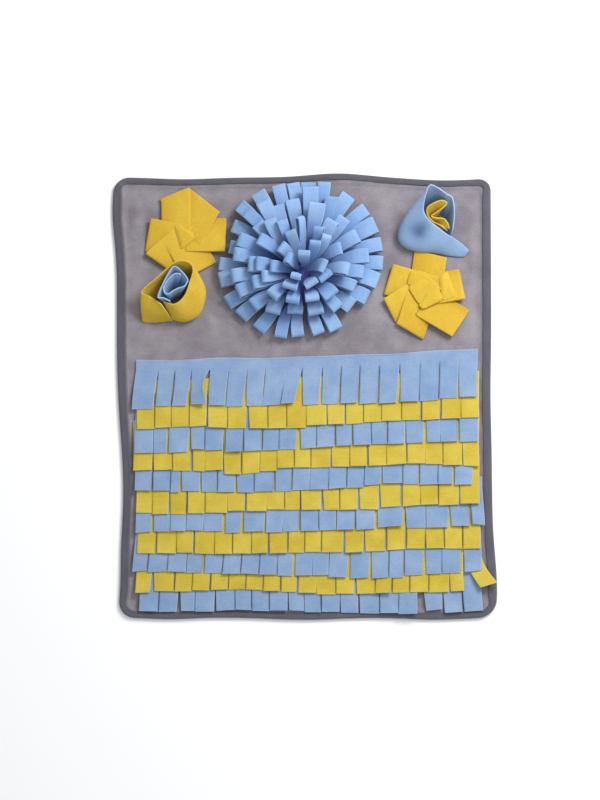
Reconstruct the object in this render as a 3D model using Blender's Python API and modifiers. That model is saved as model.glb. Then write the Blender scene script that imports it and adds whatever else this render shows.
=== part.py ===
"""A snuffle mat: a fleece mat bound with tape, with eleven rows of cut fringe, a looped pompom,
two flowers folded from strips and two wrapped buds.  Metres, +Z up, the mat lies on Z = 0."""

import math
import random
from collections import namedtuple

import bmesh
import bpy
from mathutils import Matrix, Vector

# ---------------------------------------------------------------- driving dimensions
HALF_WIDTH = 0.250
HALF_LENGTH = 0.300
CLOTH = 0.0026  # the mat's own cloth
FLEECE = 0.0015  # the fringed rows
LOOP_FLEECE = 0.0018  # pompom, flowers and buds
CLEAR = 0.0003  # between two pieces that touch

TAPE = 0.0010  # the binding's thickness
TAPE_COVER = 0.011  # how far the binding reaches in over the cloth
CUT_EDGE_INSET = 0.0022  # the cloth's cut edge, inside the binding
CLOTH_LIFT = TAPE + CLEAR  # the cloth's edge rides on the binding's lower leaf
TAPE_HEIGHT = 2 * (TAPE + CLEAR) + CLOTH

Corner = namedtuple("Corner", "x y radius start_deg")
CORNERS = (
    Corner(-1, -1, 0.023, 180),
    Corner(1, -1, 0.024, 270),
    Corner(1, 1, 0.017, 0),
    Corner(-1, 1, 0.019, 90),
)
ARC_STEPS = 4
SIDE_STEPS = (13, 15, 13, 15)  # bottom, right, top, left
LEAST_RADIUS = 0.008

# Where the mat's edge wanders from a straight line: position along the side, outward, spread.
Wave = namedtuple("Wave", "side at out spread")
WAVES = (
    Wave("left", 0.255, 0.0065, 0.055),
    Wave("left", -0.130, -0.0095, 0.110),
    Wave("left", -0.262, -0.0035, 0.050),
    Wave("right", -0.262, 0.0060, 0.065),
    Wave("right", 0.000, -0.0015, 0.060),
    Wave("top", 0.045, 0.0055, 0.052),
    Wave("top", 0.190, -0.0040, 0.060),
    Wave("top", -0.160, -0.0025, 0.050),
    Wave("bottom", 0.000, 0.0030, 0.060),
    Wave("bottom", 0.170, 0.0028, 0.050),
    Wave("bottom", -0.180, 0.0022, 0.040),
)

# Soft ridges where the sewing draws the cloth up: middle, direction, half length, half width, height.
Ridge = namedtuple("Ridge", "x y angle_deg half_length half_width height")
RIDGES = (
    Ridge(-0.100, 0.103, 122, 0.028, 0.022, 0.0035),
    Ridge(0.092, 0.099, 48, 0.026, 0.018, 0.0030),
    Ridge(0.220, 0.262, 40, 0.028, 0.016, 0.0030),
)
FLAT_INSET = 0.0145  # inside this the mat lies on the floor

# ---------------------------------------------------------------- fringed rows
# Ends and leans in metres; gapes gives the mouth, in millimetres, of each slit that stands open.
Row = namedtuple("Row", "cloth tails left right tip_left tip_middle tip_right lean_left lean_right gapes")
ROWS = (
    Row("blue", 18, -0.2243, 0.2320, -0.0199, -0.0151, -0.0049, -0.006, -0.001,
        {1: 3, 2: 1.6, 3: 4, 4: 5, 6: 4.5, 9: 8, 10: 3.5, 11: 2, 12: 2, 13: 2, 14: 4.5, 17: 3}),
    Row("yellow", 18, -0.2229, 0.2336, -0.0457, -0.0409, -0.0314, 0.000, 0.000,
        {4: 2.5, 6: 5.5, 10: 1.8, 11: 1.8, 15: 1.6, 16: 1.8}),
    Row("blue", 19, -0.2243, 0.2310, -0.0783, -0.0729, -0.0634, -0.002, 0.001,
        {2: 2.5, 3: 5, 5: 3, 6: 2, 9: 7, 11: 2, 12: 2, 15: 2, 16: 5, 18: 2}),
    Row("yellow", 19, -0.2275, 0.2336, -0.1035, -0.1001, -0.0947, 0.000, 0.000,
        {1: 3, 3: 2, 5: 2, 11: 2, 13: 1.8, 18: 2}),
    Row("blue", 19, -0.2243, 0.2256, -0.1300, -0.1287, -0.1232, -0.001, -0.002,
        {1: 2, 3: 4, 4: 2.5, 6: 3.5, 8: 2, 14: 3, 16: 1.8, 18: 2.5}),
    Row("yellow", 18, -0.2229, 0.2336, -0.1593, -0.1559, -0.1477, -0.001, 0.000,
        {2: 3, 3: 2, 6: 2.5, 9: 2.5, 10: 4, 12: 3.5, 13: 3.5, 14: 2, 17: 2}),
    Row("blue", 18, -0.2216, 0.2350, -0.1858, -0.1852, -0.1763, -0.003, 0.002,
        {1: 3.5, 5: 3.5, 6: 4.5, 7: 1.6, 9: 1.6, 12: 2, 13: 4.5, 14: 4.5, 16: 3.5, 17: 1.6}),
    Row("yellow", 18, -0.2203, 0.2336, -0.2150, -0.2137, -0.2089, -0.002, 0.001,
        {1: 1.8, 3: 1.8, 7: 2, 11: 3.5, 12: 3, 13: 2, 14: 1.6, 15: 2}),
    Row("blue", 19, -0.2229, 0.2350, -0.2415, -0.2470, -0.2415, -0.006, 0.001,
        {4: 2, 9: 3.5, 12: 3.5, 13: 4.5, 15: 1.6, 16: 5, 18: 5}),
    Row("yellow", 19, -0.2216, 0.2310, -0.2687, -0.2700, -0.2633, -0.003, 0.001,
        {1: 6, 4: 2, 8: 1.6, 9: 2.5, 12: 3.5, 17: 2.5, 18: 4}),
    Row("blue", 18, -0.2176, 0.2350, -0.2918, -0.2953, -0.2959, -0.002, 0.003,
        {2: 6, 4: 3, 8: 2, 11: 1.6, 12: 2, 15: 10, 16: 3, 17: 2}),
)
FIRST_TOP = (0.0483, 0.0544, 0.0653)  # the first row's upper edge: left, middle, right
LAST_TOP = (-0.2230, -0.2260, -0.2270)
HEADER = 0.54  # share of the row pitch that is left uncut above the slits
COVERED = 1.62  # how far down, in row pitches, the row above may reach
LAYER_STEP = FLEECE + CLEAR
LAST_ROW_RISE = 1.55  # the last row rises only this many layers, on to the binding
SLIT_MOUTH = 0.0009
TIP_JITTER = 0.0010
TIP_LIFT = 0.0014

# Single tails that hang apart from their row: sideways at the tip, longer, lifted.
Stray = namedtuple("Stray", "row tail sideways longer lift")
STRAYS = (
    Stray(10, 19, 0.021, 0.000, 0.0045),
    Stray(7, 18, 0.007, 0.000, 0.0015),
    Stray(4, 6, 0.000, 0.004, 0.0010),
    Stray(11, 15, -0.003, 0.000, 0.0010),
)
PINCHED_TAIL = (1, 4)  # this tail's far edge curls in half way down
PINCH = 0.006

# ---------------------------------------------------------------- pompom
POMPOM_AT = Vector((0.000, 0.1660, CLOTH + CLEAR))
CORE_RADIUS = 0.036
CORE_HEIGHT = 0.036
CORE_SEGMENTS = 20
CORE_RINGS = 5
LOOP_WIDTH = 0.0205
LOOP_STATIONS = (0.0, 0.5, 1.0)
LOOP_GAPS = (0.0026, 0.0060, 0.0085)  # between the middles of a loop's two leaves
ROOT_DEPTH = 0.85  # the roots sit at this share of the core's radius
CROWDING = 0.78  # the share of the room at its root that a loop fills
FLOWER_SIDE_DEG = 159  # the loops on this side stop short of the left flower
FLOWER_SIDE_SHARE = 0.10

# Tiers from the mat upwards.  The tips of a tier stand on an oval (middle, half sizes, height);
# arch is how far its loops bow up from a straight line.
Tier = namedtuple("Tier", "loops root_deg tip_x tip_y half_x half_y height arch")
TIERS = (
    Tier(26, 13, -0.005, 0.019, 0.109, 0.102, 0.0090, 0.010),
    Tier(22, 32, -0.003, 0.021, 0.090, 0.076, 0.0330, 0.009),
    Tier(17, 50, -0.002, 0.014, 0.069, 0.055, 0.0550, 0.008),
    Tier(12, 66, 0.000, 0.009, 0.045, 0.037, 0.0680, 0.006),
    Tier(7, 80, 0.001, 0.003, 0.024, 0.019, 0.0750, 0.003),
)

# ---------------------------------------------------------------- folded flowers
# A petal is a strip folded over at its tip; the table gives the two corners of that fold, going
# clockwise, in millimetres from the flower's middle.
Petal = namedtuple("Petal", "x y to_x to_y")
LEFT_FLOWER_AT = Vector((-0.1542, 0.2200, CLOTH + CLEAR))
LEFT_PETALS = (
    Petal(-37, 48, -1, 62),
    Petal(0, 61, 41, 30),
    Petal(47, 23, 44, -23),
    Petal(36, -37, 5, -53),
    Petal(-26, -49, -55, -26),
    Petal(-57, -25, -49, 22),
)
RIGHT_FLOWER_AT = Vector((0.1729, 0.1380, CLOTH + CLEAR))
RIGHT_PETALS = (
    Petal(-26, 53, 17, 50),
    Petal(30, 39, 41, -2),
    Petal(47, -17, 20, -52),
    Petal(-9, -58, -49, -38),
    Petal(-53, -36, -66, -6),
    Petal(-65, -4, -52, 42),
)
PETAL_THICKNESS = 0.0038  # two leaves pressed together
PETAL_TILT_DEG = 8.5  # each petal's clockwise edge lies on its neighbour
PETAL_TILT_STEP = 0.9
PETAL_ROOT = 0.004
HUB_SIDES = 7
HUB_RADIUS = 0.020
HUB_TOP_RADIUS = 0.014
HUB_HEIGHT = 0.0150

# ---------------------------------------------------------------- wrapped buds
# A wrap's wall in one direction: how far out its foot, its belly and its rim are, and the heights.
# The rim has a middle of its own, because the buds lean; millimetres.
Wall = namedtuple("Wall", "angle_deg foot belly belly_height rim rim_height")
Roll = namedtuple("Roll", "x y lean_x lean_y turn_deg foot long short height turns")
Bud = namedtuple("Bud", "at wrap_cloth roll_cloth rim_x rim_y walls roll")
LEFT_BUD = Bud(
    at=Vector((-0.1745, 0.1290, CLOTH + CLEAR)),
    wrap_cloth="yellow",
    roll_cloth="blue",
    rim_x=-5,
    rim_y=15,
    walls=(
        Wall(-92, 22, 28, 10, 19, 32),
        Wall(-60, 25, 35, 15, 20, 35),
        Wall(-20, 29, 43, 18, 22, 39),
        Wall(20, 30, 45, 20, 33, 44),
        Wall(50, 30, 42, 22, 38, 46),
        Wall(80, 28, 35, 22, 28, 46),
        Wall(115, 26, 30, 20, 23, 43),
        Wall(150, 27, 32, 17, 28, 36),
        Wall(180, 32, 38, 14, 34, 28),
        Wall(213, 44, 45, 9, 33, 24),
        Wall(240, 36, 38, 9, 27, 28),
        Wall(265, 27, 33, 11, 22, 32),
        Wall(290, 28, 36, 14, 20, 34),
    ),
    roll=Roll(-1, 7, -2, 8, 42, 10, 20, 12.5, 36, 1.75),
)
RIGHT_BUD = Bud(
    at=Vector((0.1680, 0.2215, CLOTH + CLEAR)),
    wrap_cloth="blue",
    roll_cloth="yellow",
    rim_x=11,
    rim_y=23,
    walls=(
        Wall(-20, 33, 27, 16, 20, 36),
        Wall(20, 33, 27, 22, 20, 42),
        Wall(50, 33, 28, 25, 23, 47),
        Wall(88, 34, 30, 27, 27, 52),
        Wall(111, 36, 32, 27, 33, 55),
        Wall(150, 40, 33, 22, 23, 44),
        Wall(185, 38, 34, 19, 18, 35),
        Wall(214, 34, 33, 17, 17, 31),
        Wall(250, 28, 30, 15, 17, 28),
        Wall(290, 29, 31, 13, 20, 26),
        Wall(318, 42, 36, 9, 28, 18),
        Wall(338, 54, 48, 5, 44, 9),
    ),
    roll=Roll(4, 9, 6, 12, 105, 8, 12, 10, 38, 1.5),
)
WRAP_STEPS = 24
WRAP_RINGS = 3
BELLY_LEAN = 0.4  # how far the belly's middle has moved from the foot's towards the rim's
WRAP_SPIRAL = 0.0040  # the wrap's outer end lies this far outside its inner end
ROLL_STEPS = 20
ROLL_START_DEG = 40
ROLL_EYE = 0.28  # the strip starts at this share of the roll's radius
ROLL_UNEVEN = 0.08

# ---------------------------------------------------------------- cloth colours
CLOTHS = {
    "grey": ((0.33, 0.30, 0.33), 0.95),
    "tape": ((0.115, 0.112, 0.130), 0.80),
    "blue": ((0.31, 0.48, 0.78), 0.92),
    "yellow": ((0.82, 0.60, 0.075), 0.92),
}


# ---------------------------------------------------------------- scene helpers
def clear_scene():
    for old in list(bpy.data.objects):
        bpy.data.objects.remove(old)


def new_collection(name):
    collection = bpy.data.collections.new(name)
    bpy.context.scene.collection.children.link(collection)
    return collection


def cloth_material(name):
    colour, roughness = CLOTHS[name]
    material = bpy.data.materials.get(name) or bpy.data.materials.new(name)
    material.use_nodes = True
    shader = material.node_tree.nodes["Principled BSDF"]
    shader.inputs["Base Color"].default_value = (*colour, 1.0)
    shader.inputs["Roughness"].default_value = roughness
    shader.inputs["Metallic"].default_value = 0.0
    return material


def finish_object(name, bm, cloth, collection, smooth_deg=None):
    mesh = bpy.data.meshes.new(name)
    bm.to_mesh(mesh)
    bm.free()
    mesh.materials.append(cloth_material(cloth))
    if smooth_deg is not None:
        mesh.shade_smooth()
        mesh.set_sharp_from_angle(angle=math.radians(smooth_deg))
    obj = bpy.data.objects.new(name, mesh)
    collection.objects.link(obj)
    return obj


def thicken(obj, thickness, offset):
    """Turns an open sheet into cloth; offset 1 grows it along the normals, 0 both ways."""
    solidify = obj.modifiers.new("cloth thickness", "SOLIDIFY")
    solidify.thickness = thickness
    solidify.offset = offset
    solidify.use_even_offset = True


def add_ribbon(bm, rungs):
    """A strip of quads over rungs, each a (left point, right point) pair."""
    verts = [(bm.verts.new(left), bm.verts.new(right)) for left, right in rungs]
    for (a, b), (c, d) in zip(verts, verts[1:]):
        bm.faces.new((a, b, d, c))


def blend3(values, share):
    """A curve through the left, middle and right values; share runs from 0 to 1."""
    left, middle, right = values
    rest = 1 - share
    return left * rest * (rest - share) + 4 * middle * share * rest + right * share * (share - rest)


# ---------------------------------------------------------------- the mat's outline
def side_wave(side, along):
    return sum(
        w.out * math.exp(-(((along - w.at) / w.spread) ** 2)) for w in WAVES if w.side == side
    )


def wander(x, y):
    """The point of a straight-edged mat moved to where this mat's edge really runs."""
    across = max(0.0, min(1.0, (abs(x) / HALF_WIDTH - 0.5) * 2))
    down = max(0.0, min(1.0, (abs(y) / HALF_LENGTH - 0.5) * 2))
    shift_x = side_wave("right", y) * across if x > 0 else -side_wave("left", y) * across
    shift_y = side_wave("top", x) * down if y > 0 else -side_wave("bottom", x) * down
    return Vector((x + shift_x, y + shift_y))


def corner_arc(corner, inset, steps):
    """The named steps of a corner's quarter circle at this distance in from the mat's edge."""
    radius = max(corner.radius - inset, LEAST_RADIUS)
    reach = inset + radius
    centre = Vector((corner.x * (HALF_WIDTH - reach), corner.y * (HALF_LENGTH - reach)))
    angles = [math.radians(corner.start_deg + 90 * step / ARC_STEPS) for step in steps]
    return [centre + radius * Vector((math.cos(a), math.sin(a))) for a in angles]


def outline_ring(inset):
    """Points round the mat at this distance in from its edge, anticlockwise.

    They start in the middle of the lower left corner's arc, and so do the four sides."""
    points = []
    for corner, following, steps in zip(CORNERS, CORNERS[1:] + CORNERS[:1], SIDE_STEPS):
        arc = corner_arc(corner, inset, range(ARC_STEPS // 2, ARC_STEPS + 1))
        next_arc = corner_arc(following, inset, range(ARC_STEPS // 2))
        side = [arc[-1].lerp(next_arc[0], step / steps) for step in range(1, steps)]
        points += arc + side + next_arc
    return [wander(p.x, p.y) for p in points]


def outline_centre():
    ring = outline_ring(0.0)
    xs = [p.x for p in ring]
    ys = [p.y for p in ring]
    return Vector(((min(xs) + max(xs)) / 2, (min(ys) + max(ys)) / 2))


MAT_SHIFT = -outline_centre()  # puts the origin under the middle of the mat


def ridge_height(x, y):
    height = 0.0
    for r in RIDGES:
        along = Vector((math.cos(math.radians(r.angle_deg)), math.sin(math.radians(r.angle_deg))))
        offset = Vector((x - r.x, y - r.y))
        u = offset.dot(along) / r.half_length
        v = (offset.x * along.y - offset.y * along.x) / r.half_width
        if abs(u) < 1 and abs(v) < 1:
            height += r.height * math.cos(u * math.pi / 2) ** 2 * math.cos(v * math.pi / 2) ** 2
    return height


# ---------------------------------------------------------------- the mat and its binding
def build_mat_cloth(collection):
    """A patch between the four sides of the flat part, and two rings that climb into the binding."""
    ring = outline_ring(FLAT_INSET)
    columns = SIDE_STEPS[0] + ARC_STEPS
    rows = SIDE_STEPS[1] + ARC_STEPS
    bottom = ring[: columns + 1]
    right = ring[columns : columns + rows + 1]
    top = ring[columns + rows : 2 * columns + rows + 1][::-1]
    left = (ring[2 * columns + rows :] + ring[:1])[::-1]
    bm = bmesh.new()
    grid = []
    for j in range(rows + 1):
        line = []
        for i in range(columns + 1):
            u = i / columns
            v = j / rows
            between = bottom[i] * (1 - v) + top[i] * v + left[j] * (1 - u) + right[j] * u
            low_corners = bottom[0] * (1 - u) + bottom[-1] * u
            high_corners = top[0] * (1 - u) + top[-1] * u
            point = between - low_corners * (1 - v) - high_corners * v
            inner = 0 < i < columns and 0 < j < rows
            lift = ridge_height(point.x, point.y) if inner else 0.0
            line.append(bm.verts.new((*(point + MAT_SHIFT), lift)))
        grid.append(line)
    for lower, upper in zip(grid, grid[1:]):
        for i in range(columns):
            bm.faces.new((lower[i], lower[i + 1], upper[i + 1], upper[i]))
    rim = grid[0] + [line[-1] for line in grid[1:]] + grid[-1][-2::-1] + [line[0] for line in grid[-2:0:-1]]
    for inset in (TAPE_COVER + 2 * CLEAR, CUT_EDGE_INSET):
        wider = [bm.verts.new((*(p + MAT_SHIFT), CLOTH_LIFT)) for p in outline_ring(inset)]
        for n in range(len(rim)):
            following = (n + 1) % len(rim)
            bm.faces.new((rim[n], wider[n], wider[following], rim[following]))
        rim = wider
    bmesh.ops.recalc_face_normals(bm, faces=bm.faces)
    if next(iter(bm.faces)).normal.z < 0:
        bmesh.ops.reverse_faces(bm, faces=bm.faces)
    mat = finish_object("mat_cloth", bm, "grey", collection, smooth_deg=40)
    thicken(mat, CLOTH, 1.0)


def build_binding(collection):
    """A tape folded over the mat's edge: its section is swept round the outline and closed on itself."""
    middle = TAPE_HEIGHT / 2
    section = (
        (TAPE_COVER, TAPE_HEIGHT),
        (0.0030, TAPE_HEIGHT),
        (0.0, middle + TAPE),
        (0.0, middle - TAPE),
        (0.0030, 0.0),
        (TAPE_COVER, 0.0),
        (TAPE_COVER, TAPE),
        (CUT_EDGE_INSET - 2 * CLEAR, TAPE),
        (CUT_EDGE_INSET - 2 * CLEAR, TAPE_HEIGHT - TAPE),
        (TAPE_COVER, TAPE_HEIGHT - TAPE),
    )
    bm = bmesh.new()
    loops = []
    for inset, height in section:
        loops.append([bm.verts.new((*(p + MAT_SHIFT), height)) for p in outline_ring(inset)])
    for first, second in zip(loops, loops[1:] + loops[:1]):
        for n in range(len(first)):
            following = (n + 1) % len(first)
            bm.faces.new((first[n], second[n], second[following], first[following]))
    bmesh.ops.recalc_face_normals(bm, faces=bm.faces)
    finish_object("binding", bm, "tape", collection, smooth_deg=50)


# ---------------------------------------------------------------- fringed rows
def row_line(number, share):
    """The Y of a row's upper edge; rows are numbered from 1 and share runs from left to right."""
    down = (number - 1) / (len(ROWS) - 1)
    return blend3(FIRST_TOP, share) * (1 - down) + blend3(LAST_TOP, share) * down


def row_pitch(share):
    return (row_line(1, share) - row_line(len(ROWS), share)) / (len(ROWS) - 1)


def shingle_height(number, depth):
    """The underside of a row, depth pitches below its upper edge: each row lies on the next."""
    if number == len(ROWS):
        depth = min(depth, LAST_ROW_RISE)
    return CLOTH + CLEAR + LAYER_STEP * depth


def build_row(number, row, collection):
    """One strip: an uncut header and its tails, as a sheet whose slits open downwards."""
    draw = random.Random(number)
    strays = {s.tail: s for s in STRAYS if s.row == number}
    depths = (HEADER, 1.0, COVERED) if number == 1 else (HEADER, COVERED)
    bm = bmesh.new()

    def place(x, depth, lift=0.0):
        share = (x + HALF_WIDTH) / (2 * HALF_WIDTH)
        y = row_line(number, share) - depth * row_pitch(share)
        return Vector((x, y, shingle_height(number, depth) + lift))

    pitch_x = (row.right - row.left) / row.tails
    slits = [row.left + pitch_x * n for n in range(row.tails + 1)]
    slits = [slits[0]] + [x + draw.uniform(-0.06, 0.06) * pitch_x for x in slits[1:-1]] + [slits[-1]]
    top = [bm.verts.new(place(x, 0.0)) for x in slits]
    roots = [bm.verts.new(place(x, HEADER)) for x in slits]
    for n in range(row.tails):
        bm.faces.new((top[n], roots[n], roots[n + 1], top[n + 1]))
    for n in range(row.tails):
        tail = n + 1
        stray = strays.get(tail, Stray(number, tail, 0, 0, 0))
        share = (slits[n] + slits[n + 1]) / (4 * HALF_WIDTH) + 0.5
        lean = row.lean_left * (1 - share) + row.lean_right * share + stray.sideways
        left_gap = SLIT_MOUTH if n == 0 else row.gapes.get(n, SLIT_MOUTH * 1000) / 1000
        right_gap = SLIT_MOUTH if tail == row.tails else row.gapes.get(tail, SLIT_MOUTH * 1000) / 1000
        tip_y = blend3((row.tip_left, row.tip_middle, row.tip_right), share)
        tip_y += draw.uniform(-TIP_JITTER, TIP_JITTER) - stray.longer
        tip_depth = (row_line(number, share) - tip_y) / row_pitch(share)
        tip_lift = draw.uniform(0, TIP_LIFT) + stray.lift
        edge = (roots[n], roots[n + 1])
        for depth in depths[1:] + (tip_depth,):
            along = (depth - HEADER) / (tip_depth - HEADER)
            pinch = PINCH * math.sin(math.pi * along) if (number, tail) == PINCHED_TAIL else 0.0
            lift = tip_lift if depth == tip_depth else 0.0
            left_x = slits[n] + lean * along + left_gap / 2 * along
            right_x = slits[n + 1] + lean * along - right_gap / 2 * along - pinch
            fresh = (bm.verts.new(place(left_x, depth, lift)), bm.verts.new(place(right_x, depth, lift)))
            bm.faces.new((edge[0], fresh[0], fresh[1], edge[1]))
            edge = fresh
    strip = finish_object(f"fringe_row_{number:02d}", bm, row.cloth, collection)
    thicken(strip, FLEECE, 1.0)


# ---------------------------------------------------------------- loops and petals
def hairpin(bm, line, gaps, widths):
    """A strip folded over on itself: out under a middle line, round its tip and back above it.

    line holds (point, up, side) from root to tip."""
    under = []
    over = []
    for (point, up, side), gap, width in zip(line, gaps, widths):
        half = side * width / 2
        low = point - up * gap / 2
        high = point + up * gap / 2
        under.append((low - half, low + half))
        over.append((high - half, high + half))
    add_ribbon(bm, under + over[::-1])


def join_shape(obj, helper):
    """Joins a helper shape to obj."""
    helper.hide_render = True
    helper.display_type = "WIRE"
    join = obj.modifiers.new(helper.name, "BOOLEAN")
    join.operation = "UNION"
    join.object = helper
    join.solver = "MANIFOLD"


def tier_sheet(tier, draw):
    """The loops of one tier as open strips; none of them touches its neighbour."""
    start = draw.uniform(0, 360)
    tips = []
    for n in range(tier.loops):
        turn = math.radians(start + (n + draw.uniform(-0.08, 0.08)) * 360 / tier.loops)
        near_flower = 0.5 + 0.5 * math.cos(turn - math.radians(FLOWER_SIDE_DEG))
        reach = draw.uniform(0.97, 1.02) - FLOWER_SIDE_SHARE * near_flower**24
        x = tier.tip_x + tier.half_x * math.cos(turn) * reach
        y = tier.tip_y + tier.half_y * math.sin(turn) * reach
        tips.append(Vector((x, y, tier.height + draw.uniform(-0.0015, 0.0015))))
    root_angle = math.radians(tier.root_deg)
    root_r = ROOT_DEPTH * CORE_RADIUS * math.cos(root_angle)
    root_z = ROOT_DEPTH * CORE_HEIGHT * math.sin(root_angle)
    outwards = [Vector((tip.x, tip.y, 0)).normalized() for tip in tips]
    loops = bmesh.new()
    for n, (tip, outward) in enumerate(zip(tips, outwards)):
        room = min(outward.angle(outwards[n - 1]), outward.angle(outwards[(n + 1) % tier.loops]))
        roll = math.radians(draw.uniform(-7, 7))
        side = Vector((-outward.y, outward.x, 0)) * math.cos(roll) + Vector((0, 0, 1)) * math.sin(roll)
        root = outward * root_r + Vector((0, 0, root_z))
        chord = tip - root
        above = chord.normalized().cross(Vector((-outward.y, outward.x, 0)))
        line = []
        widths = []
        for share in LOOP_STATIONS:
            point = root + chord * share + above * (tier.arch * 4 * share * (1 - share))
            slope = chord + above * (tier.arch * 4 * (1 - 2 * share))
            up = slope.normalized().cross(Vector((-outward.y, outward.x, 0)))
            inner_r = Vector((point.x, point.y)).length - LOOP_FLEECE
            line.append((point, up, side))
            widths.append(min(LOOP_WIDTH, CROWDING * room * inner_r))
        hairpin(loops, line, LOOP_GAPS, widths)
    return loops


def build_pompom(helpers, collection):
    """A dome of rolled-up strip with tiers of loops; the loops' roots are joined to it."""
    core = bmesh.new()
    rings = []
    for ring in range(CORE_RINGS):
        angle = math.radians(90 * ring / CORE_RINGS)
        r = CORE_RADIUS * math.cos(angle)
        z = CORE_HEIGHT * math.sin(angle)
        turns = [2 * math.pi * n / CORE_SEGMENTS for n in range(CORE_SEGMENTS)]
        rings.append([core.verts.new((r * math.cos(a), r * math.sin(a), z)) for a in turns])
    for lower, upper in zip(rings, rings[1:]):
        for n in range(CORE_SEGMENTS):
            following = (n + 1) % CORE_SEGMENTS
            core.faces.new((lower[n], lower[following], upper[following], upper[n]))
    core.faces.new(rings[0][::-1])
    crown = core.verts.new((0, 0, CORE_HEIGHT))
    for n in range(CORE_SEGMENTS):
        core.faces.new((rings[-1][n], rings[-1][(n + 1) % CORE_SEGMENTS], crown))
    pompom = finish_object("pompom", core, "blue", collection)
    pompom.location = POMPOM_AT
    draw = random.Random(5)
    for number, tier in enumerate(TIERS, start=1):
        loops = finish_object(f"pompom_tier_{number}", tier_sheet(tier, draw), "blue", helpers)
        thicken(loops, LOOP_FLEECE, 0.0)
        loops.location = POMPOM_AT
        join_shape(pompom, loops)


def build_flower(name, at, petals, helpers, collection):
    """Folded petals laid round a hub like the vanes of a pinwheel."""
    hub = bmesh.new()
    bmesh.ops.create_cone(
        hub,
        cap_ends=True,
        segments=HUB_SIDES,
        radius1=HUB_RADIUS,
        radius2=HUB_TOP_RADIUS,
        depth=HUB_HEIGHT,
    )
    bmesh.ops.translate(hub, vec=(0, 0, HUB_HEIGHT / 2), verts=hub.verts)
    flower = finish_object(name, hub, "yellow", collection)
    flower.location = at
    for number, petal in enumerate(petals, start=1):
        tilt = math.radians(PETAL_TILT_DEG + PETAL_TILT_STEP * (number % 3))
        edge = Vector((petal.to_x - petal.x, petal.to_y - petal.y, 0)) / 1000
        middle = Vector((petal.x + petal.to_x, petal.y + petal.to_y, 0)) / 2000
        across = -edge.normalized()
        forward = across.cross(Vector((0, 0, 1)))
        side = across * math.cos(tilt) - Vector((0, 0, math.sin(tilt)))
        seat = PETAL_THICKNESS / 2 + CLEAR + edge.length / 2 * math.sin(tilt)
        tip = middle + Vector((0, 0, seat))
        root = tip - forward * (middle.dot(forward) - PETAL_ROOT)
        half = side * edge.length / 2
        folded = bmesh.new()
        add_ribbon(folded, ((root - half, root + half), (tip - half, tip + half)))
        petal_object = finish_object(f"{name}_petal_{number}", folded, "yellow", helpers)
        thicken(petal_object, PETAL_THICKNESS, 0.0)
        petal_object.location = at
        join_shape(flower, petal_object)


# ---------------------------------------------------------------- buds
def wall_at(walls, angle_deg):
    """The wall's measures in this direction, eased between the table's rows."""
    for before, after in zip(walls, walls[1:]):
        if angle_deg <= after.angle_deg:
            share = (angle_deg - before.angle_deg) / (after.angle_deg - before.angle_deg)
            eased = share * share * (3 - 2 * share)
            return Wall(*(a + (b - a) * eased for a, b in zip(before, after)))
    return walls[-1]


def build_bud(name, bud, collection):
    """A sheet wrapped into a cup, its outer end lapped over its start, round a rolled strip."""
    wrap = bmesh.new()
    first = bud.walls[0].angle_deg
    span = bud.walls[-1].angle_deg - first
    rim_middle = Vector((bud.rim_x, bud.rim_y, 0)) / 1000
    columns = []
    for step in range(WRAP_STEPS + 1):
        angle_deg = first + span * step / WRAP_STEPS
        out = Vector((math.cos(math.radians(angle_deg)), math.sin(math.radians(angle_deg)), 0))
        wall = wall_at(bud.walls, angle_deg)
        lap = out * WRAP_SPIRAL * (step / WRAP_STEPS - 0.5)
        foot = out * wall.foot / 1000 + lap
        belly = rim_middle * BELLY_LEAN + out * wall.belly / 1000 + lap
        belly.z = wall.belly_height / 1000
        rim = rim_middle + out * wall.rim / 1000 + lap
        rim.z = wall.rim_height / 1000
        pull = belly * 2 - (foot + rim) / 2
        column = []
        for ring in range(WRAP_RINGS + 1):
            up = ring / WRAP_RINGS
            point = foot * (1 - up) ** 2 + pull * 2 * up * (1 - up) + rim * up**2
            column.append(wrap.verts.new(point))
        columns.append(column)
    for before, after in zip(columns, columns[1:]):
        for ring in range(WRAP_RINGS):
            wrap.faces.new((before[ring], after[ring], after[ring + 1], before[ring + 1]))
    cup = finish_object(name + "_wrap", wrap, bud.wrap_cloth, collection, smooth_deg=60)
    thicken(cup, LOOP_FLEECE, 0.0)
    cup.location = bud.at + Vector((0, 0, LOOP_FLEECE / 2))

    rolled = bmesh.new()
    roll = bud.roll
    turned = Matrix.Rotation(math.radians(roll.turn_deg), 3, "Z")
    rungs = []
    for step in range(ROLL_STEPS + 1):
        share = step / ROLL_STEPS
        angle = math.radians(ROLL_START_DEG) + share * roll.turns * 2 * math.pi
        wound = ROLL_EYE + (1 - ROLL_EYE) * share
        circle = Vector((math.cos(angle), math.sin(angle), 0)) * wound
        oval = turned @ Vector((circle.x * roll.long, circle.y * roll.short, 0))
        height = roll.height * (1 - ROLL_UNEVEN * math.cos(angle))
        lean = Vector((roll.lean_x, roll.lean_y, height))
        rungs.append((turned @ circle * roll.foot / 1000, (oval + lean) / 1000))
    add_ribbon(rolled, rungs)
    strip = finish_object(name + "_roll", rolled, bud.roll_cloth, collection, smooth_deg=60)
    thicken(strip, LOOP_FLEECE, 0.0)
    strip.location = bud.at + Vector((roll.x / 1000, roll.y / 1000, LOOP_FLEECE / 2))


def main():
    clear_scene()
    collection = new_collection("snuffle mat")
    helpers = new_collection("joined shapes")
    build_mat_cloth(collection)
    build_binding(collection)
    for number, row in enumerate(ROWS, start=1):
        build_row(number, row, collection)
    build_pompom(helpers, collection)
    build_flower("flower_left", LEFT_FLOWER_AT, LEFT_PETALS, helpers, collection)
    build_flower("flower_right", RIGHT_FLOWER_AT, RIGHT_PETALS, helpers, collection)
    build_bud("bud_left", LEFT_BUD, collection)
    build_bud("bud_right", RIGHT_BUD, collection)


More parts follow.
